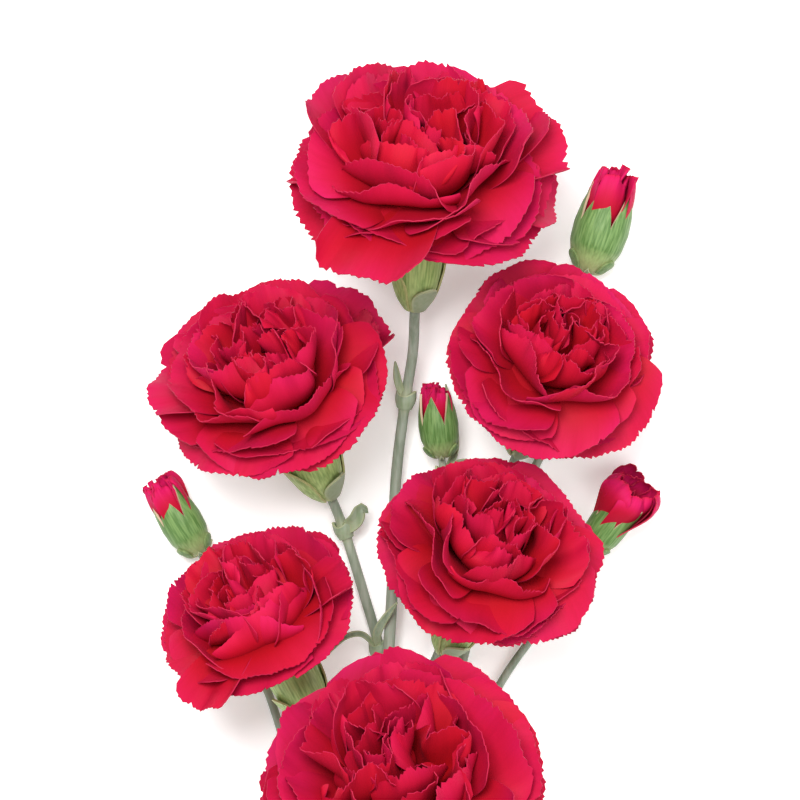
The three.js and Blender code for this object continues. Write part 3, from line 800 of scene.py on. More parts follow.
STRAIGHT = Bearing(0, 0, 0, 1.0)
HEART = [
    Ring(7, 6, Bearing(30, 12, 30, 0.92), Bearing(37, 58, -18, 0.8), 0.38, 0.4, 20, 0.03, 0.8,
         0.35, 14, 36),
    Ring(3, 6, Bearing(20, 8, 14, 0.84), Bearing(26, 38, -14, 0.76), 0.33, 0.34, 26, 0.03, 1.1,
         0.4, 14, 36),
    Ring(9, 5, Bearing(9, 4, 2, 0.75), Bearing(12, 14, -8, 0.7), 0.28, 0.3, 30, 0.03, 1.4,
         0.45, 14, 32),
]
RINGS = {
    Kind.BLOOM: [
        Ring(0, 7, Bearing(88, 34, 104, 1.03), Bearing(100, 34, 118, 0.93), 0.76, 2.4, 7, 0.06,
             0.14, 0.14, 8, 56),
        Ring(1, 6, Bearing(64, 24, 76, 1.03), Bearing(88, 46, 66, 0.92), 0.76, 1.2, 8, 0.05,
             0.2, 0.18, 6, 52),
        Ring(4, 5, Bearing(50, 20, 56, 1.0), Bearing(60, 62, 16, 0.84), 0.62, 0.75, 10, 0.05,
             0.35, 0.22, 10, 46),
        Ring(2, 5, Bearing(40, 16, 44, 0.95), Bearing(43, 70, -14, 0.82), 0.5, 0.5, 12, 0.03,
             0.5, 0.28, 10, 40),
        *HEART,
    ],
    Kind.BOWL_BLOOM: [
        Ring(0, 7, Bearing(66, 56, 56, 1.03), Bearing(92, 36, 108, 1.0), 0.76, 1.6, 7, 0.05,
             0.14, 0.14, 6, 56),
        Ring(1, 6, Bearing(54, 52, 40, 0.95), Bearing(40, 86, -26, 0.86), 0.68, 0.85, 9, 0.04,
             0.2, 0.18, 6, 52),
        Ring(4, 6, Bearing(43, 36, 32, 0.86), Bearing(28, 52, -12, 0.78), 0.5, 0.55, 12, 0.03,
             0.3, 0.22, 10, 46),
        *HEART,
    ],
    Kind.CLOSED_BUD: [
        Ring(0, 4, STRAIGHT, STRAIGHT, 0.66, 0.74, 12, 0.05, 0.3, 0.5, 0, 32, 0.7,
             ((0.55, -1.0), (0.86, -0.3), (0.94, 1.05), (0.6, 1.36))),
        Ring(1, 6, STRAIGHT, STRAIGHT, 0.46, 0.46, 22, 0.12, 1.2, 1.0, 0, 32, 0.7,
             ((0.4, -0.8), (0.7, -0.2), (0.66, 1.2), (0.6, 1.56))),
        Ring(2, 5, STRAIGHT, STRAIGHT, 0.4, 0.32, 28, 0.12, 1.5, 1.1, 0, 32, 0.6,
             ((0.2, -0.6), (0.4, 0.0), (0.26, 1.25), (0.28, 1.68))),
    ],
    Kind.OPENING_BUD: [
        Ring(0, 6, Bearing(0, 0, 0, 1.1), Bearing(0, 0, 0, 0.82), 0.96, 1.15, 9, 0.05, 0.2,
             0.35, 0, 36, 0.6, ((0.5, -1.0), (0.9, 0.4), (1.9, 1.2), (0.95, 1.85))),
        Ring(1, 5, Bearing(0, 0, 0, 1.14), Bearing(0, 0, 0, 0.8), 0.8, 0.8, 16, 0.1, 0.7,
             0.7, 0, 36, 0.55, ((0.4, -0.8), (0.7, 0.3), (1.5, 1.2), (0.8, 1.8))),
        Ring(2, 5, Bearing(0, 0, 0, 1.1), Bearing(0, 0, 0, 0.76), 0.5, 0.44, 24, 0.1, 1.2,
             0.9, 0, 32, 0.5, ((0.3, -0.6), (0.4, 0.5), (0.8, 0.9), (0.5, 1.3))),
    ],
}


def stray(azimuth: float, stance: Bearing, half_width: float, cup: float) -> Ring:
    """A petal that stands out of its ring.

    Args:
        azimuth: Where it stands round the flower's axis, in degrees.
        stance: How it stands.
        half_width: Half its width, as a share of the radius.
        cup: The radius it is curved across, as a share of the radius.
    Returns:
        A ring of that one petal.
    """
    return Ring(11, 1, stance, stance, half_width, cup, 4, 0.06, 0.3, 0.2, 0, 32, azimuth=azimuth)


FLOWERS = [
    Flower("bloom_1", Kind.BLOOM, (4.8, 110.3, 28.6), 3, 28, 32, 28, 5.6, 14, 30,
           (stray(250, Bearing(99, 34, 112, 1.4), 0.46, 1.2),
            stray(24, Bearing(72, 34, 84, 1.13), 0.5, 1.0)), (1.0, 0.8)),
    Flower("bloom_2", Kind.BLOOM, (-25.5, 65.9, 23.2), -25, 34, 26.5, 29, 6.3, 22, 0,
           (stray(157, Bearing(71, 30, 92, 1.12), 0.46, 0.8),
            stray(20, Bearing(80, 34, 92, 1.1), 0.5, 1.2)), (1.0, 0.95)),
    Flower("bloom_3", Kind.BLOOM, (33.2, 72.5, 25.5), 20, 47, 24.5, 29, 5.6, 33, 20, (),
           (0.87, 1.02)),
    Flower("bloom_4", Kind.BLOOM, (18.5, 29.8, 27.5), 22, 38, 24, 28, 5.6, 44, 5,
           (stray(5, Bearing(78, 30, 92, 1.06), 0.46, 0.8),), (0.98, 1.06)),
    Flower("bloom_5", Kind.BOWL_BLOOM, (-28.6, 15, 27.4), -27, 30, 25, 27, 5.8, 57, 20,
           (stray(338, Bearing(74, 44, 70, 1.14), 0.3, 0.22),
            stray(222, Bearing(92, 40, 104, 1.3), 0.3, 0.3)), (0.99, 0.78)),
    Flower("bloom_6", Kind.BLOOM, (0.7, -21, 44.6), -12, 47, 33, 30, 6, 66, 18, (),
           (0.92, 1.0)),
    Flower("bud_1", Kind.CLOSED_BUD, (46.1, 107, 6.6), 18, 6, 6.4, 13.5, 6.3, 71),
    Flower("bud_2", Kind.CLOSED_BUD, (8.5, 62.4, 9.8), -6, 12, 4.0, 9.8, 4.5, 72),
    Flower("bud_3", Kind.OPENING_BUD, (48.1, 39.8, 8.6), 36, 14, 4.8, 9.8, 4.5, 73),
    Flower("bud_4", Kind.CLOSED_BUD, (-50.2, 41, 5.9), -31, 8, 4.9, 11.4, 4.8, 74),
]


@dataclass(frozen=True)
class Petal:
    """One petal as a curved sheet in its flower's frame, in millimetres and radians."""

    ring: Ring
    midline: np.ndarray
    size: float
    azimuth: float
    half_width: float
    cup: float
    roll: float
    waves: float
    phase: float
    creases: tuple[tuple[float, float, float], ...]
    tone: float
    seed: int

    @classmethod
    def of(cls, flower: Flower, ring: Ring, place: int) -> "Petal":
        """The petal at one place of a ring.

        Args:
            flower: The flower that it belongs to.
            ring: Its ring.
            place: Its place round the ring, from 0.
        Returns:
            The petal.
        """
        seed = flower.seed * 100 + ring.number * 12 + place
        draw = SeededDraw(seed)
        tip_angle, longer, straying = 4 * draw(), 1 + 0.05 * draw(), 7 * draw()
        step = place + 0.5 * (ring.number % 2) + 0.1 * draw()
        azimuth = math.radians(flower.turn) + math.tau / ring.count * step
        if ring.azimuth is not None:
            azimuth = math.radians(ring.azimuth)
        half_width = ring.half_width * flower.radius * (1 + 0.06 * draw())
        flatness = 1 + 0.12 * draw() + 0.6 * math.cos(azimuth) ** 2  # most at the flower's sides
        roll = ring.roll + 3 * draw()
        if not flower.kind.is_bud:
            roll = 0.5 * roll + FACING * math.cos(azimuth)
        waves, phase = 4.6 + 0.8 * draw(), math.pi * draw()
        straying += ring.wander * draw()
        creases = tuple((1 / k, 1.9 * k + 0.6 * draw(), math.pi * draw()) for k in (1, 2, 3))
        frontness = 0.5 - 0.5 * math.sin(azimuth)
        stance = ring.back.towards(ring.front, frontness)
        back, front = flower.share
        size = flower.radius * (back + (front - back) * frontness)
        if ring.pulls:
            midline = np.array(ring.pulls) * size
            midline[2:] *= stance.reach * (1 + 0.1 * draw())
        else:
            spread = 0.015 * (ring.back.tip + ring.front.tip)  # the more open, the further out
            root_radius = 0.6 + spread * flower.belly / USUAL_BELLY
            root = np.array([min(ROOT_SHARE * flower.belly, root_radius), 0.0])
            tip = cls.polar(stance.tip + tip_angle, stance.reach * size * longer)
            lower = root + cls.polar(stance.lean, LEAVING * size)
            upper = tip - cls.polar(stance.end + straying, ARRIVING * size)
            midline = np.stack([root, lower, upper, tip])
        tone = BUD_TONE if flower.kind.is_bud else ring.tone
        # painted light: petals at the back are more pink, as they stand more in the light; the draw
        # adds pink at random
        tone += 0.3 * draw() + 0.15 * math.sin(azimuth)
        cup, roll = ring.cup * flower.radius * flatness, math.radians(roll)
        form = (midline, size, azimuth, half_width, cup, roll, waves, phase, creases)
        return cls(ring, *form, tone, seed)

    @staticmethod
    def polar(angle: float, distance: float) -> np.ndarray:
        """A step out from and along the flower's axis, from an angle off it and a distance."""
        return np.array([math.sin(math.radians(angle)), math.cos(math.radians(angle))]) * distance

    def teeth(self) -> tuple[np.ndarray, np.ndarray]:
        """The fine teeth of the margin, with a few deeper notches and broad lobes.

        Returns:
            Where the columns stand, from -1 to 1, and how far each one's end is moved outwards, as
            a share of the radius. Tips and notches alternate.
        """
        columns = self.ring.columns
        draw = SeededDraw(self.seed + TEETH_SEED)
        across = np.linspace(-1, 1, columns + 1)
        jitter = np.array([draw() for _ in across]) * 0.8 / columns
        jitter[[0, columns // 2, -1]] = 0
        depth = np.array([0.55 + 0.45 * draw() for _ in across]) * TOOTH_DEPTH
        depth[1::2] *= -1
        for _ in range(2):
            notch = 2 * int(columns / 4 * (1 + 0.8 * draw())) + 1
            depth[min(notch, columns - 1)] -= 1.8 * TOOTH_DEPTH
        lobes = TOOTH_DEPTH * (np.sin(across * 6 + self.phase) + 0.6 * np.sin(across * 15 + draw()))
        return across + jitter, depth + lobes

    def sheet(self, rows: int) -> np.ndarray:
        """The petal's sheet, row by row from its root.

        Args:
            rows: Faces along it.
        Returns:
            One row of three for each vertex, in the flower's own frame.
        """
        ring = self.ring
        across, depth = self.teeth()
        along = (1 - (1 - np.linspace(0, 1, rows + 1)) ** ROW_CROWDING)[:, None]
        reach = float(np.linalg.norm(self.midline[-1]))
        breadth = min(MOST_ROUND, ROUNDNESS * self.half_width / reach)
        margin = np.sqrt(1 - (breadth * across) ** 2) - ROUNDING * across**8
        share = along * margin + along**12 * depth
        middle, tangent = self.on_midline(share)
        shoulder = share**0.55 * (1.08 - 0.08 * share**5)
        width = self.half_width * (ring.claw + (1 - ring.claw) * shoulder)
        heading = width * across / self.cup
        for strength, rate, phase in self.creases:
            heading = heading + ring.fold * strength * along**2 * np.sin(rate * across + phase)
        for rate in CRIMPS:
            heading = heading + ring.frill * along**5 * np.sin(rate * across + rate * self.phase)
        side_run = self.run_across(width * np.cos(heading), across)
        face_run = self.run_across(width * np.sin(heading), across)
        waves = np.sin(across * self.waves + self.phase)
        face_run += ring.ruffle * self.size * share**2 * waves
        dents = np.sin(2.7 * across + 5 * self.phase) * np.sin(5 * share + 3 * self.phase)
        face_run += PUCKER * self.size * share * dents

        out = np.array([math.cos(self.azimuth), math.sin(self.azimuth), 0.0])
        axis = np.array([0.0, 0.0, 1.0])
        side = np.cross(axis, out)
        face = -tangent[..., 1:] * out + tangent[..., :1] * axis
        turned_side = side * math.cos(self.roll) + face * math.sin(self.roll)
        turned_face = face * math.cos(self.roll) - side * math.sin(self.roll)
        points = middle[..., :1] * out + middle[..., 1:] * axis
        points = points + turned_side * side_run[..., None] + turned_face * face_run[..., None]
        return points.reshape(-1, 3)

    def on_midline(self, share: np.ndarray) -> tuple[np.ndarray, np.ndarray]:
        """The midline at some shares of its length.

        Args:
            share: From 0 at the root to 1 at the margin; more runs straight on.
        Returns:
            The points and the unit directions there, each as (out from the axis, along it).
        """
        p0, p1, p2, p3 = self.midline
        t = share.clip(0, 1)[..., None]
        point = (1 - t) ** 3 * p0 + 3 * (1 - t) ** 2 * t * p1 + 3 * (1 - t) * t**2 * p2 + t**3 * p3
        t = share.clip(0.01, 0.99)[..., None]
        way = (1 - t) ** 2 * (p1 - p0) + 2 * (1 - t) * t * (p2 - p1) + t**2 * (p3 - p2)
        way /= np.linalg.norm(way, axis=-1, keepdims=True)
        return point + way * (share - 1).clip(0)[..., None] * self.size, way

    @staticmethod
    def run_across(slope: np.ndarray, across: np.ndarray) -> np.ndarray:
        """Sums a slope along each row of the sheet, so that the middle column stays at nought.

        Args:
            slope: The change for each unit of across, at every vertex.
            across: Where the columns stand.
        Returns:
            The sums, at every vertex.
        """
        steps = (slope[:, 1:] + slope[:, :-1]) / 2 * np.diff(across)
        total = np.concatenate([np.zeros((len(slope), 1)), np.cumsum(steps, axis=1)], axis=1)
        return total - total[:, [len(across) // 2]]


def above_surface(points: np.ndarray) -> np.ndarray:
    """Bends whatever would sink below the surface so that it lies along it.

    Args:
        points: In millimetres in the part's frame.
    Returns:
        The points, none of them lower than the surface.
    """
    lifted = points.copy()
    height = lifted[:, 2] - SURFACE
    lifted[:, 2] = SURFACE + SOFTNESS * np.logaddexp(0, height / SOFTNESS)
    return lifted


@dataclass(frozen=True)
class PetalHead:
    """All petals of one flower."""

    flower: Flower
    rows: int = 14

    def build(self, wardrobe: Wardrobe) -> None:
        """Builds every ring of petals and joins them.

        Args:
            wardrobe: The finishes.
        """
        petals = []
        fading = 1.0 if self.flower.kind.is_bud else 0.0  # how much of its pink a lip loses
        for ring in [*RINGS[self.flower.kind], *self.flower.strays]:
            blank = new_grid("petal_blank", ring.columns, self.rows)
            along = np.repeat(np.linspace(0, 1, self.rows + 1), ring.columns + 1)
            for place in range(ring.count):
                petal = Petal.of(self.flower, ring, place)
                sheet = copy_of(blank, f"{self.flower.name}_petal_{ring.number}_{place}")
                points = above_surface(self.flower.placed(petal.sheet(self.rows)))
                move_vertices(sheet, points * MM)
                mark(sheet, tone=petal.tone * (1 - fading * along**5))
                petals.append(sheet)
            bpy.data.objects.remove(blank)
        head = joined(petals, f"{self.flower.name}_petal_head")
        # the second side takes the face copy, painted darker as shade
        for finish in (wardrobe.petal_back, wardrobe.shaded_petal_face, wardrobe.rim):
            head.data.materials.append(finish)
        give_wall(head, PETAL_THICKNESS, slots=(1, 2))
        finish_piece(head, [f"{self.flower.name}_petals"])


# ------ calyx and scales
@dataclass(frozen=True)
class CupForm:
    """How the calyx of one kind of flower is shaped.

    Attributes:
        tooth: How high its teeth stand above the mouth, as a share of its widest radius.
        profile: Its radius, as a share of the widest, at shares of its height.
        scales: How many scales clasp its foot.
        half_scale: Half the width of a scale, in radians round the cup.
        lengths: Of an inner and an outer scale, as shares of the calyx's length.
        spreads: How far their tips stand off, as shares of the widest radius.
        scale_height: How high up the calyx the colour of the scales' feet is taken.
        dry: How dry the margins of the scales are, from 0 to 1.
    """

    tooth: float
    profile: Pairs
    scales: int
    half_scale: float
    lengths: tuple[float, float]
    spreads: tuple[float, float]
    scale_height: float
    dry: float


OPEN_CUP = CupForm(
    0.7,
    ((0.0, 0.27), (0.04, 0.42), (0.1, 0.64), (0.18, 0.82), (0.3, 0.95), (0.45, 1.0), (0.7, 1.0),
     (0.85, 1.02), (1.0, 1.08)),
    4, 0.8, (0.46, 0.28), (0.2, 0.34), 0.2, 0.6,
)
BUD_CUP = CupForm(
    1.12,
    ((0.0, 0.26), (0.05, 0.5), (0.14, 0.76), (0.3, 0.95), (0.5, 1.0), (0.7, 0.94), (0.85, 0.84),
     (1.0, 0.76)),
    6, 0.5, (0.28, 0.0), (0.0, 0.0), 0.3, 0.15,
)
CUP_FORMS = {
    Kind.BLOOM: OPEN_CUP,
    Kind.BOWL_BLOOM: OPEN_CUP,
    Kind.CLOSED_BUD: BUD_CUP,
    Kind.OPENING_BUD: replace(
        BUD_CUP, profile=BUD_CUP.profile[:5] + ((0.7, 1.0), (0.85, 1.08), (1.0, 1.2))
    ),
}


@dataclass(frozen=True)
class Calyx:
    """The five-toothed green cup of one flower, with the pointed scales that clasp its foot.

    Attributes:
        flower: The flower that it holds.
        sides: Vertices round the cup.
        rings: Rings up the cup.
        teeth: How many teeth.
        notch: How far below the mouth the cuts between them start, as a share of its length.
        cut: How deep the cuts are, as a share of the teeth's height.
        bulge: How full the teeth are; 1 makes them straight-sided.
    """

    flower: Flower
    sides: int = 60
    rings: int = 25
    teeth: int = 5
    notch: float = 0.3
    cut: float = 1.35
    bulge: float = 0.75

    @property
    def form(self) -> CupForm:
        """How it is shaped."""
        return CUP_FORMS[self.flower.kind]

    @property
    def tooth(self) -> float:
        """How high the teeth stand above the mouth."""
        return self.form.tooth * self.flower.belly

    def stations(self) -> list[tuple[float, float]]:
        """The rings from which the cup is drawn up.

        Returns:
            Radius and height of each, from its foot to the tips of its teeth.
        """
        fine = np.append(np.linspace(0, 1, self.rings) ** 1.15, 0.985)  # the last for the margin
        fine.sort()
        radii = np.interp(fine, *zip(*self.form.profile)) * self.flower.belly
        heights = fine * (self.flower.length + self.tooth) - self.flower.length
        return list(zip(radii.tolist(), heights.tolist()))

    def radius_at(self, height: np.ndarray) -> np.ndarray:
        """The cup's radius at some heights."""
        radii, heights = np.array(self.stations()).T
        return np.interp(height, heights, radii)

    def build_cup(self) -> Object:
        """The cup, cut into teeth, with the attributes that its finish reads.

        Returns:
            The cup, as an open sheet.
        """
        cup = new_cup(f"{self.flower.name}_cup_body", self.sides, self.stations())
        x, y, z = (vertex_places(cup) / MM).T
        low, high = -self.notch * self.flower.length, self.tooth
        turn = (np.arctan2(y, x) / math.tau * self.teeth) % 1
        point = (1 - np.abs(2 * turn - 1)) ** self.bulge
        share = ((z - low) / (high - low)).clip(0, 1)
        raised = z - self.cut * self.tooth * (1 - point) * share
        narrowed = self.radius_at(raised) / np.hypot(x, y).clip(0.1)
        shaped = np.stack([x * narrowed, y * narrowed, raised], axis=1)
        climbed = (raised + self.flower.length) / (self.tooth + self.flower.length)
        mark(cup, local=shaped, height=climbed, rim=(share > 0.99).astype(float))
        move_vertices(cup, shaped * MM)
        return cup

    def is_outer(self, number: int) -> bool:
        """Whether this scale is one of the outer, shorter ones."""
        return (number + self.flower.kind.is_bud) % 2 == 1

    def build_scale(self, number: int) -> Object:
        """One scale at the foot of the cup. The outer ones of a bud are whiskers that stand off.

        Args:
            number: Counts from 0; of a bloom the odd ones are the outer, of a bud the even.
        Returns:
            The scale, as an open sheet.
        """
        form, length, belly = self.form, self.flower.length, self.flower.belly
        outer = self.is_outer(number)
        scale = new_grid(f"{self.flower.name}_scale_{number}", 10, 12)
        x, y, _ = vertex_places(scale).T
        along = (y + 1) / 2
        if self.flower.kind.is_bud and outer:
            height = -length - 0.1 + WHISKER * (0.02 * along + 0.3 * along**2)
            off = 0.22 * belly + WHISKER * (0.9 * along - 0.1 * along**2)
            half = 0.4 * (1 - along) * (1 - 0.4 * along)
        else:
            height = -length + 0.5 + form.lengths[outer] * length * (0.02 + along * 0.98)
            spread = form.spreads[outer] * belly * along**4
            off = self.radius_at(height) + 0.25 + 0.25 * (1 - along) + spread
            half = form.half_scale * (1 - along**2.6) * (0.75 + 0.5 * along)
        turn = number * math.tau / form.scales + 0.5 + x * half
        local = np.stack([np.cos(turn) * off, np.sin(turn) * off, height], axis=1)
        edge = np.maximum(np.abs(x), along) > 0.9
        mark(
            scale,
            local=local,
            height=form.scale_height + 0.3 * along,
            rim=form.dry * edge,
            fresh=0.35 + 0.6 * edge,
        )
        move_vertices(scale, local * MM)
        return scale

    def build(self, wardrobe: Wardrobe) -> None:
        """Builds the cup and its scales as one piece.

        Args:
            wardrobe: The finishes.
        """
        skin = wardrobe.bud_calyx if self.flower.kind.is_bud else wardrobe.bloom_calyx
        cup = self.build_cup()
        cup.data.materials.append(skin)
        give_wall(cup, CALYX_WALL, -1.0)
        scales = [self.build_scale(number) for number in range(self.form.scales)]
        for number, scale in enumerate(scales):
            scale.data.materials.append(wardrobe.leaf if self.is_outer(number) else skin)
        clasp = joined(scales, f"{self.flower.name}_clasp")
        give_wall(clasp, SCALE_THICKNESS)
        calyx = joined([cup, clasp], f"{self.flower.name}_green_cup")
        move_vertices(calyx, on_ground(self.flower.placed(vertex_places(calyx) / MM)) * MM)
        finish_piece(calyx, [f"{self.flower.name}_calyx"])


# ------ stems and leaves
JOINT_A = (1.4, 65.6, 9.5)
JOINT_B = (-3.3, -4.8, 7.5)
JOINT_C = (-4.6, -26.8, 7.5)
JOINT_D = (-5.6, -44, 7)
JOINT_E = (-6.2, -59, 6.4)
JOINT_F = (-6.6, -76, 5.2)
JOINT_G = (-6.6, -107, 3)
FORK = (20.4, 34, 1.6)  # where bud 1's branch leaves bloom 3's
TWIN_JOINT = (-12.3, 36.5, 5.2)
LOW_JOINT = (-4.4, 9.5, 3.6)
BUD_JOINT = (9.8, 48.5, 6.4)


@dataclass(frozen=True)
class Leaf:
    """A narrow leaf folded along its middle, in millimetres.

    Attributes:
        half: Half its width.
        points: From its root to its tip.
        columns: Faces across it.
    """

    half: float
    points: tuple[Point, ...]
    columns: int = 8

    def build(self, name: str) -> Object:
        """The leaf as an open sheet.

        Args:
            name: The piece's name.
        Returns:
            The sheet.
        """
        line = smooth_line(self.points, LEAF_STEP)
        way = tangents(line)
        rows = len(line) - 1
        leaf = new_grid(name, self.columns, rows)
        side = level_aside(way)
        face = np.cross(side, way)
        along = np.linspace(0, 1, rows + 1)
        width = self.half * (0.55 + 0.9 * np.sqrt(along)) * (1 - along**3) + 0.06
        across = np.linspace(-1, 1, self.columns + 1)
        rise = LEAF_FOLD * np.abs(across) ** 1.3
        points = line[:, None] + width[:, None, None] * (
            side[:, None] * across[:, None] + face[:, None] * rise[:, None]
        )
        move_vertices(leaf, points.reshape(-1, 3) * MM)
        edge = 0.6 * np.abs(np.tile(across, rows + 1)) ** 6
        base = np.exp(-np.repeat(along * rows * LEAF_STEP, self.columns + 1) / 3.5)
        mark(leaf, fresh=np.maximum(edge, base))
        return leaf


@dataclass(frozen=True)
class Stem:
    """A stem from the foot of its flower to the joint it leaves, in millimetres.

    Attributes:
        name: The solid that it stands for.
        flower: The flower that it bears.
        radius: At the top and at the bottom.
        joints: Which of its points are swollen joints, counted from 1.
        points: Where it runs, from below its flower.
        leaves: The leaves that it bears.
        sheath: Where the sheath round a joint starts and ends, up from the joint.
    """

    name: str
    flower: str
    radius: tuple[float, float]
    joints: tuple[int, ...]
    points: tuple[Point, ...]
    leaves: tuple[Leaf, ...] = ()
    sheath: tuple[float, float] = (-1.7, 1.5)

    @property
    def line(self) -> np.ndarray:
        """The middle of the stem.

        Returns:
            Points at an even spacing, one row each.
        """
        bearer = next(flower for flower in FLOWERS if flower.name == self.flower)
        foot = (bearer.behind(FOOT_GAP), bearer.behind(FOOT_LENGTH))
        return smooth_line(foot + self.points, STEM_STEP)

    def nearness(self, places: np.ndarray, reach: float) -> np.ndarray:
        """How near places are to the stem's joints.

        Args:
            places: One row each.
            reach: The distance over which nearness falls away.
        Returns:
            1 at a joint, nought far from it.
        """
        near = np.zeros(len(places))
        for joint in self.joints:
            distance = np.linalg.norm(places - np.array(self.points[joint - 1]), axis=1)
            near = np.maximum(near, np.exp(-((distance / reach) ** 2)))
        return near

    def build_stalk(self) -> Object:
        """The stalk: a round tube along the stem's line, thicker at its joints.

        Returns:
            The stalk.
        """
        line = self.line
        radii = np.linspace(*self.radius, len(line))
        radii *= 1 + JOINT_SWELL * self.nearness(line, JOINT_REACH)
        curve = added(f"{self.name}_stalk", bpy.ops.curve.primitive_nurbs_path_add).data
        curve.splines.clear()
        spline = curve.splines.new("POLY")
        spline.points.add(len(line) - 1)
        spline.points.foreach_set("co", np.column_stack([line * MM, np.ones(len(line))]).ravel())
        spline.points.foreach_set("radius", radii)
        curve.dimensions = "3D"
        curve.bevel_depth = MM
        curve.bevel_resolution = 5
        curve.use_fill_caps = True
        bpy.ops.object.convert(target="MESH")
        stalk = bpy.context.object
        stalk.data.name = stalk.name
        bpy.ops.object.mode_set(mode="EDIT")
        bpy.ops.mesh.select_all(action="SELECT")
        bpy.ops.mesh.remove_doubles(threshold=0.01 * MM)
        bpy.ops.mesh.select_all(action="DESELECT")
        bpy.ops.mesh.select_face_by_sides(number=4, type="GREATER")
        bpy.ops.mesh.inset(thickness=PITH_EDGE * MM, depth=-0.3 * PITH_EDGE * MM)
        bpy.ops.object.mode_set(mode="OBJECT")
        pith = np.zeros(len(stalk.data.vertices), bool)
        stalk.data.vertices.foreach_get("select", pith)
        places = vertex_places(stalk)
        near = self.nearness(places / MM, JOINT_FRESHNESS)
        mark(stalk, fresh=np.where(pith, 1.0, 0.8 * near))
        move_vertices(stalk, on_ground(places))
        return stalk

    def build_sheath(self, joint: int) -> Object:
        """The short sheath round a joint, where the feet of a pair of leaves are grown together.

        Args:
            joint: Which of the stem's points it stands at, counted from 1.
        Returns:
            The sheath, as an open sheet.
        """
        line = self.line
        low, high = self.sheath
        centre = np.array(self.points[joint - 1])
        nearest = int(np.argmin(np.linalg.norm(line - centre, axis=1)))
        radius = float(np.linspace(*self.radius, len(line))[nearest])
        heights = np.linspace(low, high, 9)
        swollen = radius * (1 + JOINT_SWELL * np.exp(-((heights / JOINT_REACH) ** 2))) + 0.2
        stations = list(zip(swollen.tolist(), heights.tolist()))
        sheath = new_cup(f"{self.name}_sheath_{joint}", 28, stations)
        x, y, z = (vertex_places(sheath) / MM).T
        raised = ((z - low) / (high - low)).clip(0, 1) ** 2
        point = np.abs(np.cos(np.arctan2(y, x) + 0.4)) ** 3
        wider = 1 + raised * (0.04 + 0.24 * point)
        local = np.stack([x * wider, y * wider, z + raised * (1.5 * point - 0.5)], axis=1)
        up = -tangents(line)[nearest]
        side = level_aside(up)
        points = centre + local @ np.stack([side, np.cross(up, side), up])
        mark(sheath, fresh=np.where(raised > 0.95, 0.8, 0.25 * (1 - raised)))
        move_vertices(sheath, on_ground(points) * MM)
        return sheath

    def build(self, wardrobe: Wardrobe) -> None:
        """Builds the stalk, its leaves and the sheaths round its joints.

        Args:
            wardrobe: The finishes.
        """
        stalk = self.build_stalk()
        stalk.data.materials.clear()
        stalk.data.materials.append(wardrobe.stem)
        finish_piece(stalk, [self.name])
        sheets = [leaf.build(f"{self.name}_leaf_{i}") for i, leaf in enumerate(self.leaves)]
        sheets += [self.build_sheath(joint) for joint in self.joints]
        if sheets:
            leaves = joined(sheets, f"{self.name}_leaves")
            leaves.data.materials.append(wardrobe.leaf)
            give_wall(leaves, LEAF_THICKNESS)
            finish_piece(leaves, [self.name])


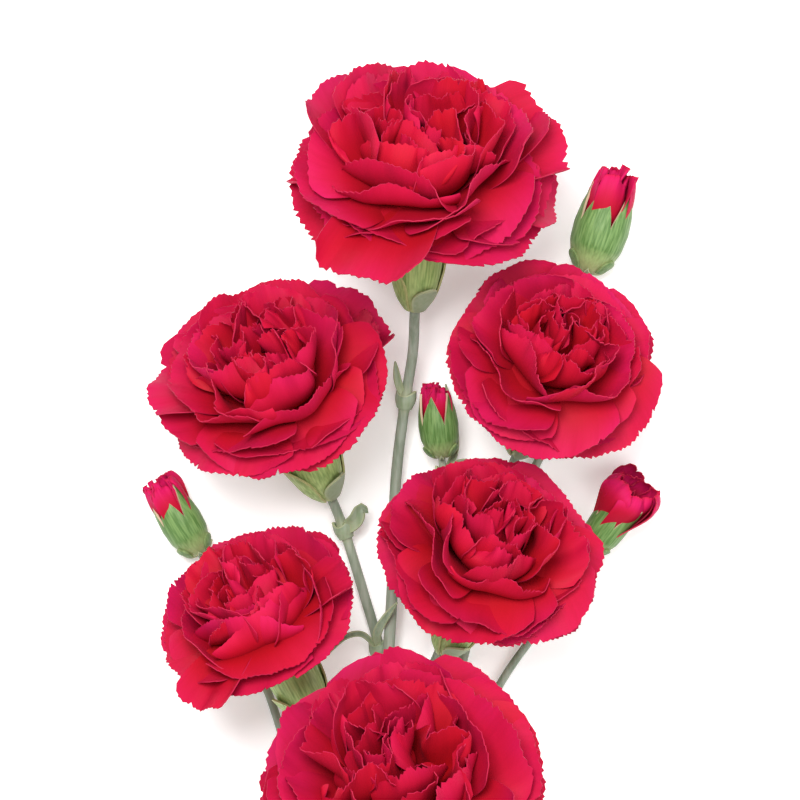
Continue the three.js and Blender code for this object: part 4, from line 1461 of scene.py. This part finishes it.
STEMS = [
    Stem(
        "stem_main", "bloom_1", (1.15, 1.6), (2, 5, 6, 7, 8, 9, 10),
        ((3.1, 76.6, 11.6), JOINT_A, (-0.7, 48, 6.5), (-1.6, 22, 6.6), JOINT_B, JOINT_C, JOINT_D,
         JOINT_E, JOINT_F, JOINT_G, (-6, -141.4, 1.3)),
        (Leaf(0.7, (JOINT_A, (-0.2, 69.5, 11.2), (-0.9, 74.2, 12))),
         Leaf(1.6, (JOINT_E, (-13, -50, 12), (-23, -43, 13), (-37, -43, 6))),
         Leaf(1.6, (JOINT_F, (2, -67, 11.5), (14, -59, 13.5), (27, -58, 8))),
         Leaf(2.1, (JOINT_G, (-14, -95, 9), (-24, -85, 10), (-38, -83, 2.5))),
         Leaf(2.1, (JOINT_G, (1, -96, 9), (13, -87, 10.5), (29, -83, 3)))),
    ),
    Stem(
        "branch_bloom_2", "bloom_2", (1.1, 1.15), (1, 3),
        (TWIN_JOINT, (-7.8, 22, 4), LOW_JOINT, JOINT_B),
        (Leaf(1.5, (TWIN_JOINT, (-9.6, 39, 8), (-8.4, 41.5, 8.6), (-6.9, 40.4, 7.6))),
         Leaf(0.5, (LOW_JOINT, (-8.4, 13.4, 7.4), (-12, 12.8, 9), (-16.9, 8, 7))),
         Leaf(0.8, (LOW_JOINT, (-4.9, 13.4, 7), (-3, 17.2, 9.9), (-0.4, 20.6, 10.7)))),
    ),
    Stem("branch_bloom_3", "bloom_3", (1.05, 1.15), (2,),
         ((24.4, 48, 1.6), FORK, (13.6, 5, 1.9), (5, -22, 3.6), JOINT_D)),
    Stem("branch_bloom_4", "bloom_4", (1.05, 1.15), (), ((7.4, 0.5, 7.2), (2, -14, 6.6), JOINT_C)),
    Stem("branch_bloom_5", "bloom_5", (1.05, 1.15), (),
         ((-15.4, -12.5, 9.5), (-11.5, -26, 7.5), JOINT_D)),
    Stem("branch_bloom_6", "bloom_6", (1.15, 1.25), (), ((4.6, -49.5, 13.4), (0.5, -55, 9), JOINT_E)),
    Stem("branch_bud_1", "bud_1", (0.9, 1.0), (2,),
         ((39.4, 86, 3.4), (37, 74, 2.2), (33.6, 58, 1.7), (27.2, 44.5, 1.5), FORK)),
    Stem(
        "branch_bud_2", "bud_2", (0.8, 0.95), (1,), (BUD_JOINT, (11, 30, 3.4), (8.2, 8, 3.4), JOINT_B),
        (Leaf(0.7, (BUD_JOINT, (12.3, 51, 5.6), (15.2, 52.4, 5))),
         Leaf(0.7, (BUD_JOINT, (12.4, 54, 2.6), (12, 62, 1.8), (10.4, 69.2, 2.4)))),
    ),
    Stem(
        "branch_bud_3", "bud_3", (0.85, 1.1), (2,),
        ((39.4, 26.5, 4.2), (32, 15.5, 3), (22.9, 2.5, 2.2), (9, -26, 1.6), (0, -56, 2.6), JOINT_F),
        (Leaf(0.8, ((32, 15.5, 3), (35.8, 17.2, 4.2), (40, 17.8, 3.6))),),
    ),
    Stem("branch_bud_4", "bud_4", (0.85, 1.1), (2,),
         ((-42, 26, 3), (-30.4, 2.9, 1.8), (-22, -24, 1.5), (-13, -55, 2.2), JOINT_F)),
]


# ------ studio
@dataclass(frozen=True)
class Studio:
    """White paper, soft light and a camera that looks straight down, as the photograph does.

    Attributes:
        centre: What the middle of the picture shows, in millimetres.
        width: How much the picture shows across, in millimetres.
        distance: From the camera to the centre, in millimetres.
        paper_side: The side of the paper, in metres.
        daylight: How bright the even white sky is.
        aim: What the lamps point at, in metres.
        lamps: Name, place, side of the square face and power in watts of each; the rest in metres.
    """

    centre: Point = (0.2, 65.6, 25.0)
    width: float = 176.0
    distance: float = 1300.0
    sensor: float = 36.0
    paper_side: float = 4.0
    daylight: float = 0.68
    aim: Point = (0.0, 0.06, 0.02)
    lamps: tuple[tuple[str, Point, float, float], ...] = (
        ("key_lamp", (-0.15, 0.4, 1.1), 0.5, 15.8), ("fill_lamp", (0.5, -0.1, 1.0), 0.8, 5.5)
    )

    def lay_paper(self, wardrobe: Wardrobe) -> None:
        """Lays the paper.

        Args:
            wardrobe: The finishes.
        """
        paper = added("studio_paper", bpy.ops.mesh.primitive_plane_add, size=self.paper_side)
        paper.data.materials.append(wardrobe.paper)

    def light(self) -> None:
        """Lights the spray softly from above, a little from the upper left."""
        world = bpy.data.worlds.new("studio_daylight")
        world.use_nodes = True
        background = world.node_tree.nodes["Background"]
        background.inputs["Color"].default_value = (1.0, 1.0, 1.0, 1.0)
        background.inputs["Strength"].default_value = self.daylight
        bpy.context.scene.world = world
        for name, place, side, power in self.lamps:
            lamp = added(name, bpy.ops.object.light_add, type="AREA", location=place)
            lamp.data.shape = "SQUARE"
            lamp.data.size = side
            lamp.data.energy = power
            way = Vector(self.aim) - lamp.location
            lamp.rotation_euler = way.to_track_quat("-Z", "Y").to_euler()

    def set_camera(self) -> None:
        """Sets up the camera above the part, with +Y up in the picture."""
        x, y, z = self.centre
        above = (x * MM, y * MM, (z + self.distance) * MM)
        camera = added("picture_camera", bpy.ops.object.camera_add, location=above)
        camera.rotation_euler = (0.0, 0.0, 0.0)
        camera.data.sensor_width = self.sensor
        camera.data.lens = self.sensor * self.distance / self.width
        camera.data.clip_end = 10.0
        bpy.context.scene.camera = camera
        bpy.context.scene.view_settings.view_transform = "Standard"


def main() -> None:
    """Builds every class in order and reports each piece."""
    logging.basicConfig(level=logging.INFO, format="%(name)s %(message)s")
    wardrobe = Wardrobe.filled()
    studio = Studio()
    studio.lay_paper(wardrobe)
    studio.light()
    studio.set_camera()
    for flower in FLOWERS:
        PetalHead(flower).build(wardrobe)
        Calyx(flower).build(wardrobe)
    for stem in STEMS:
        stem.build(wardrobe)


if __name__ == "__main__":
    main()
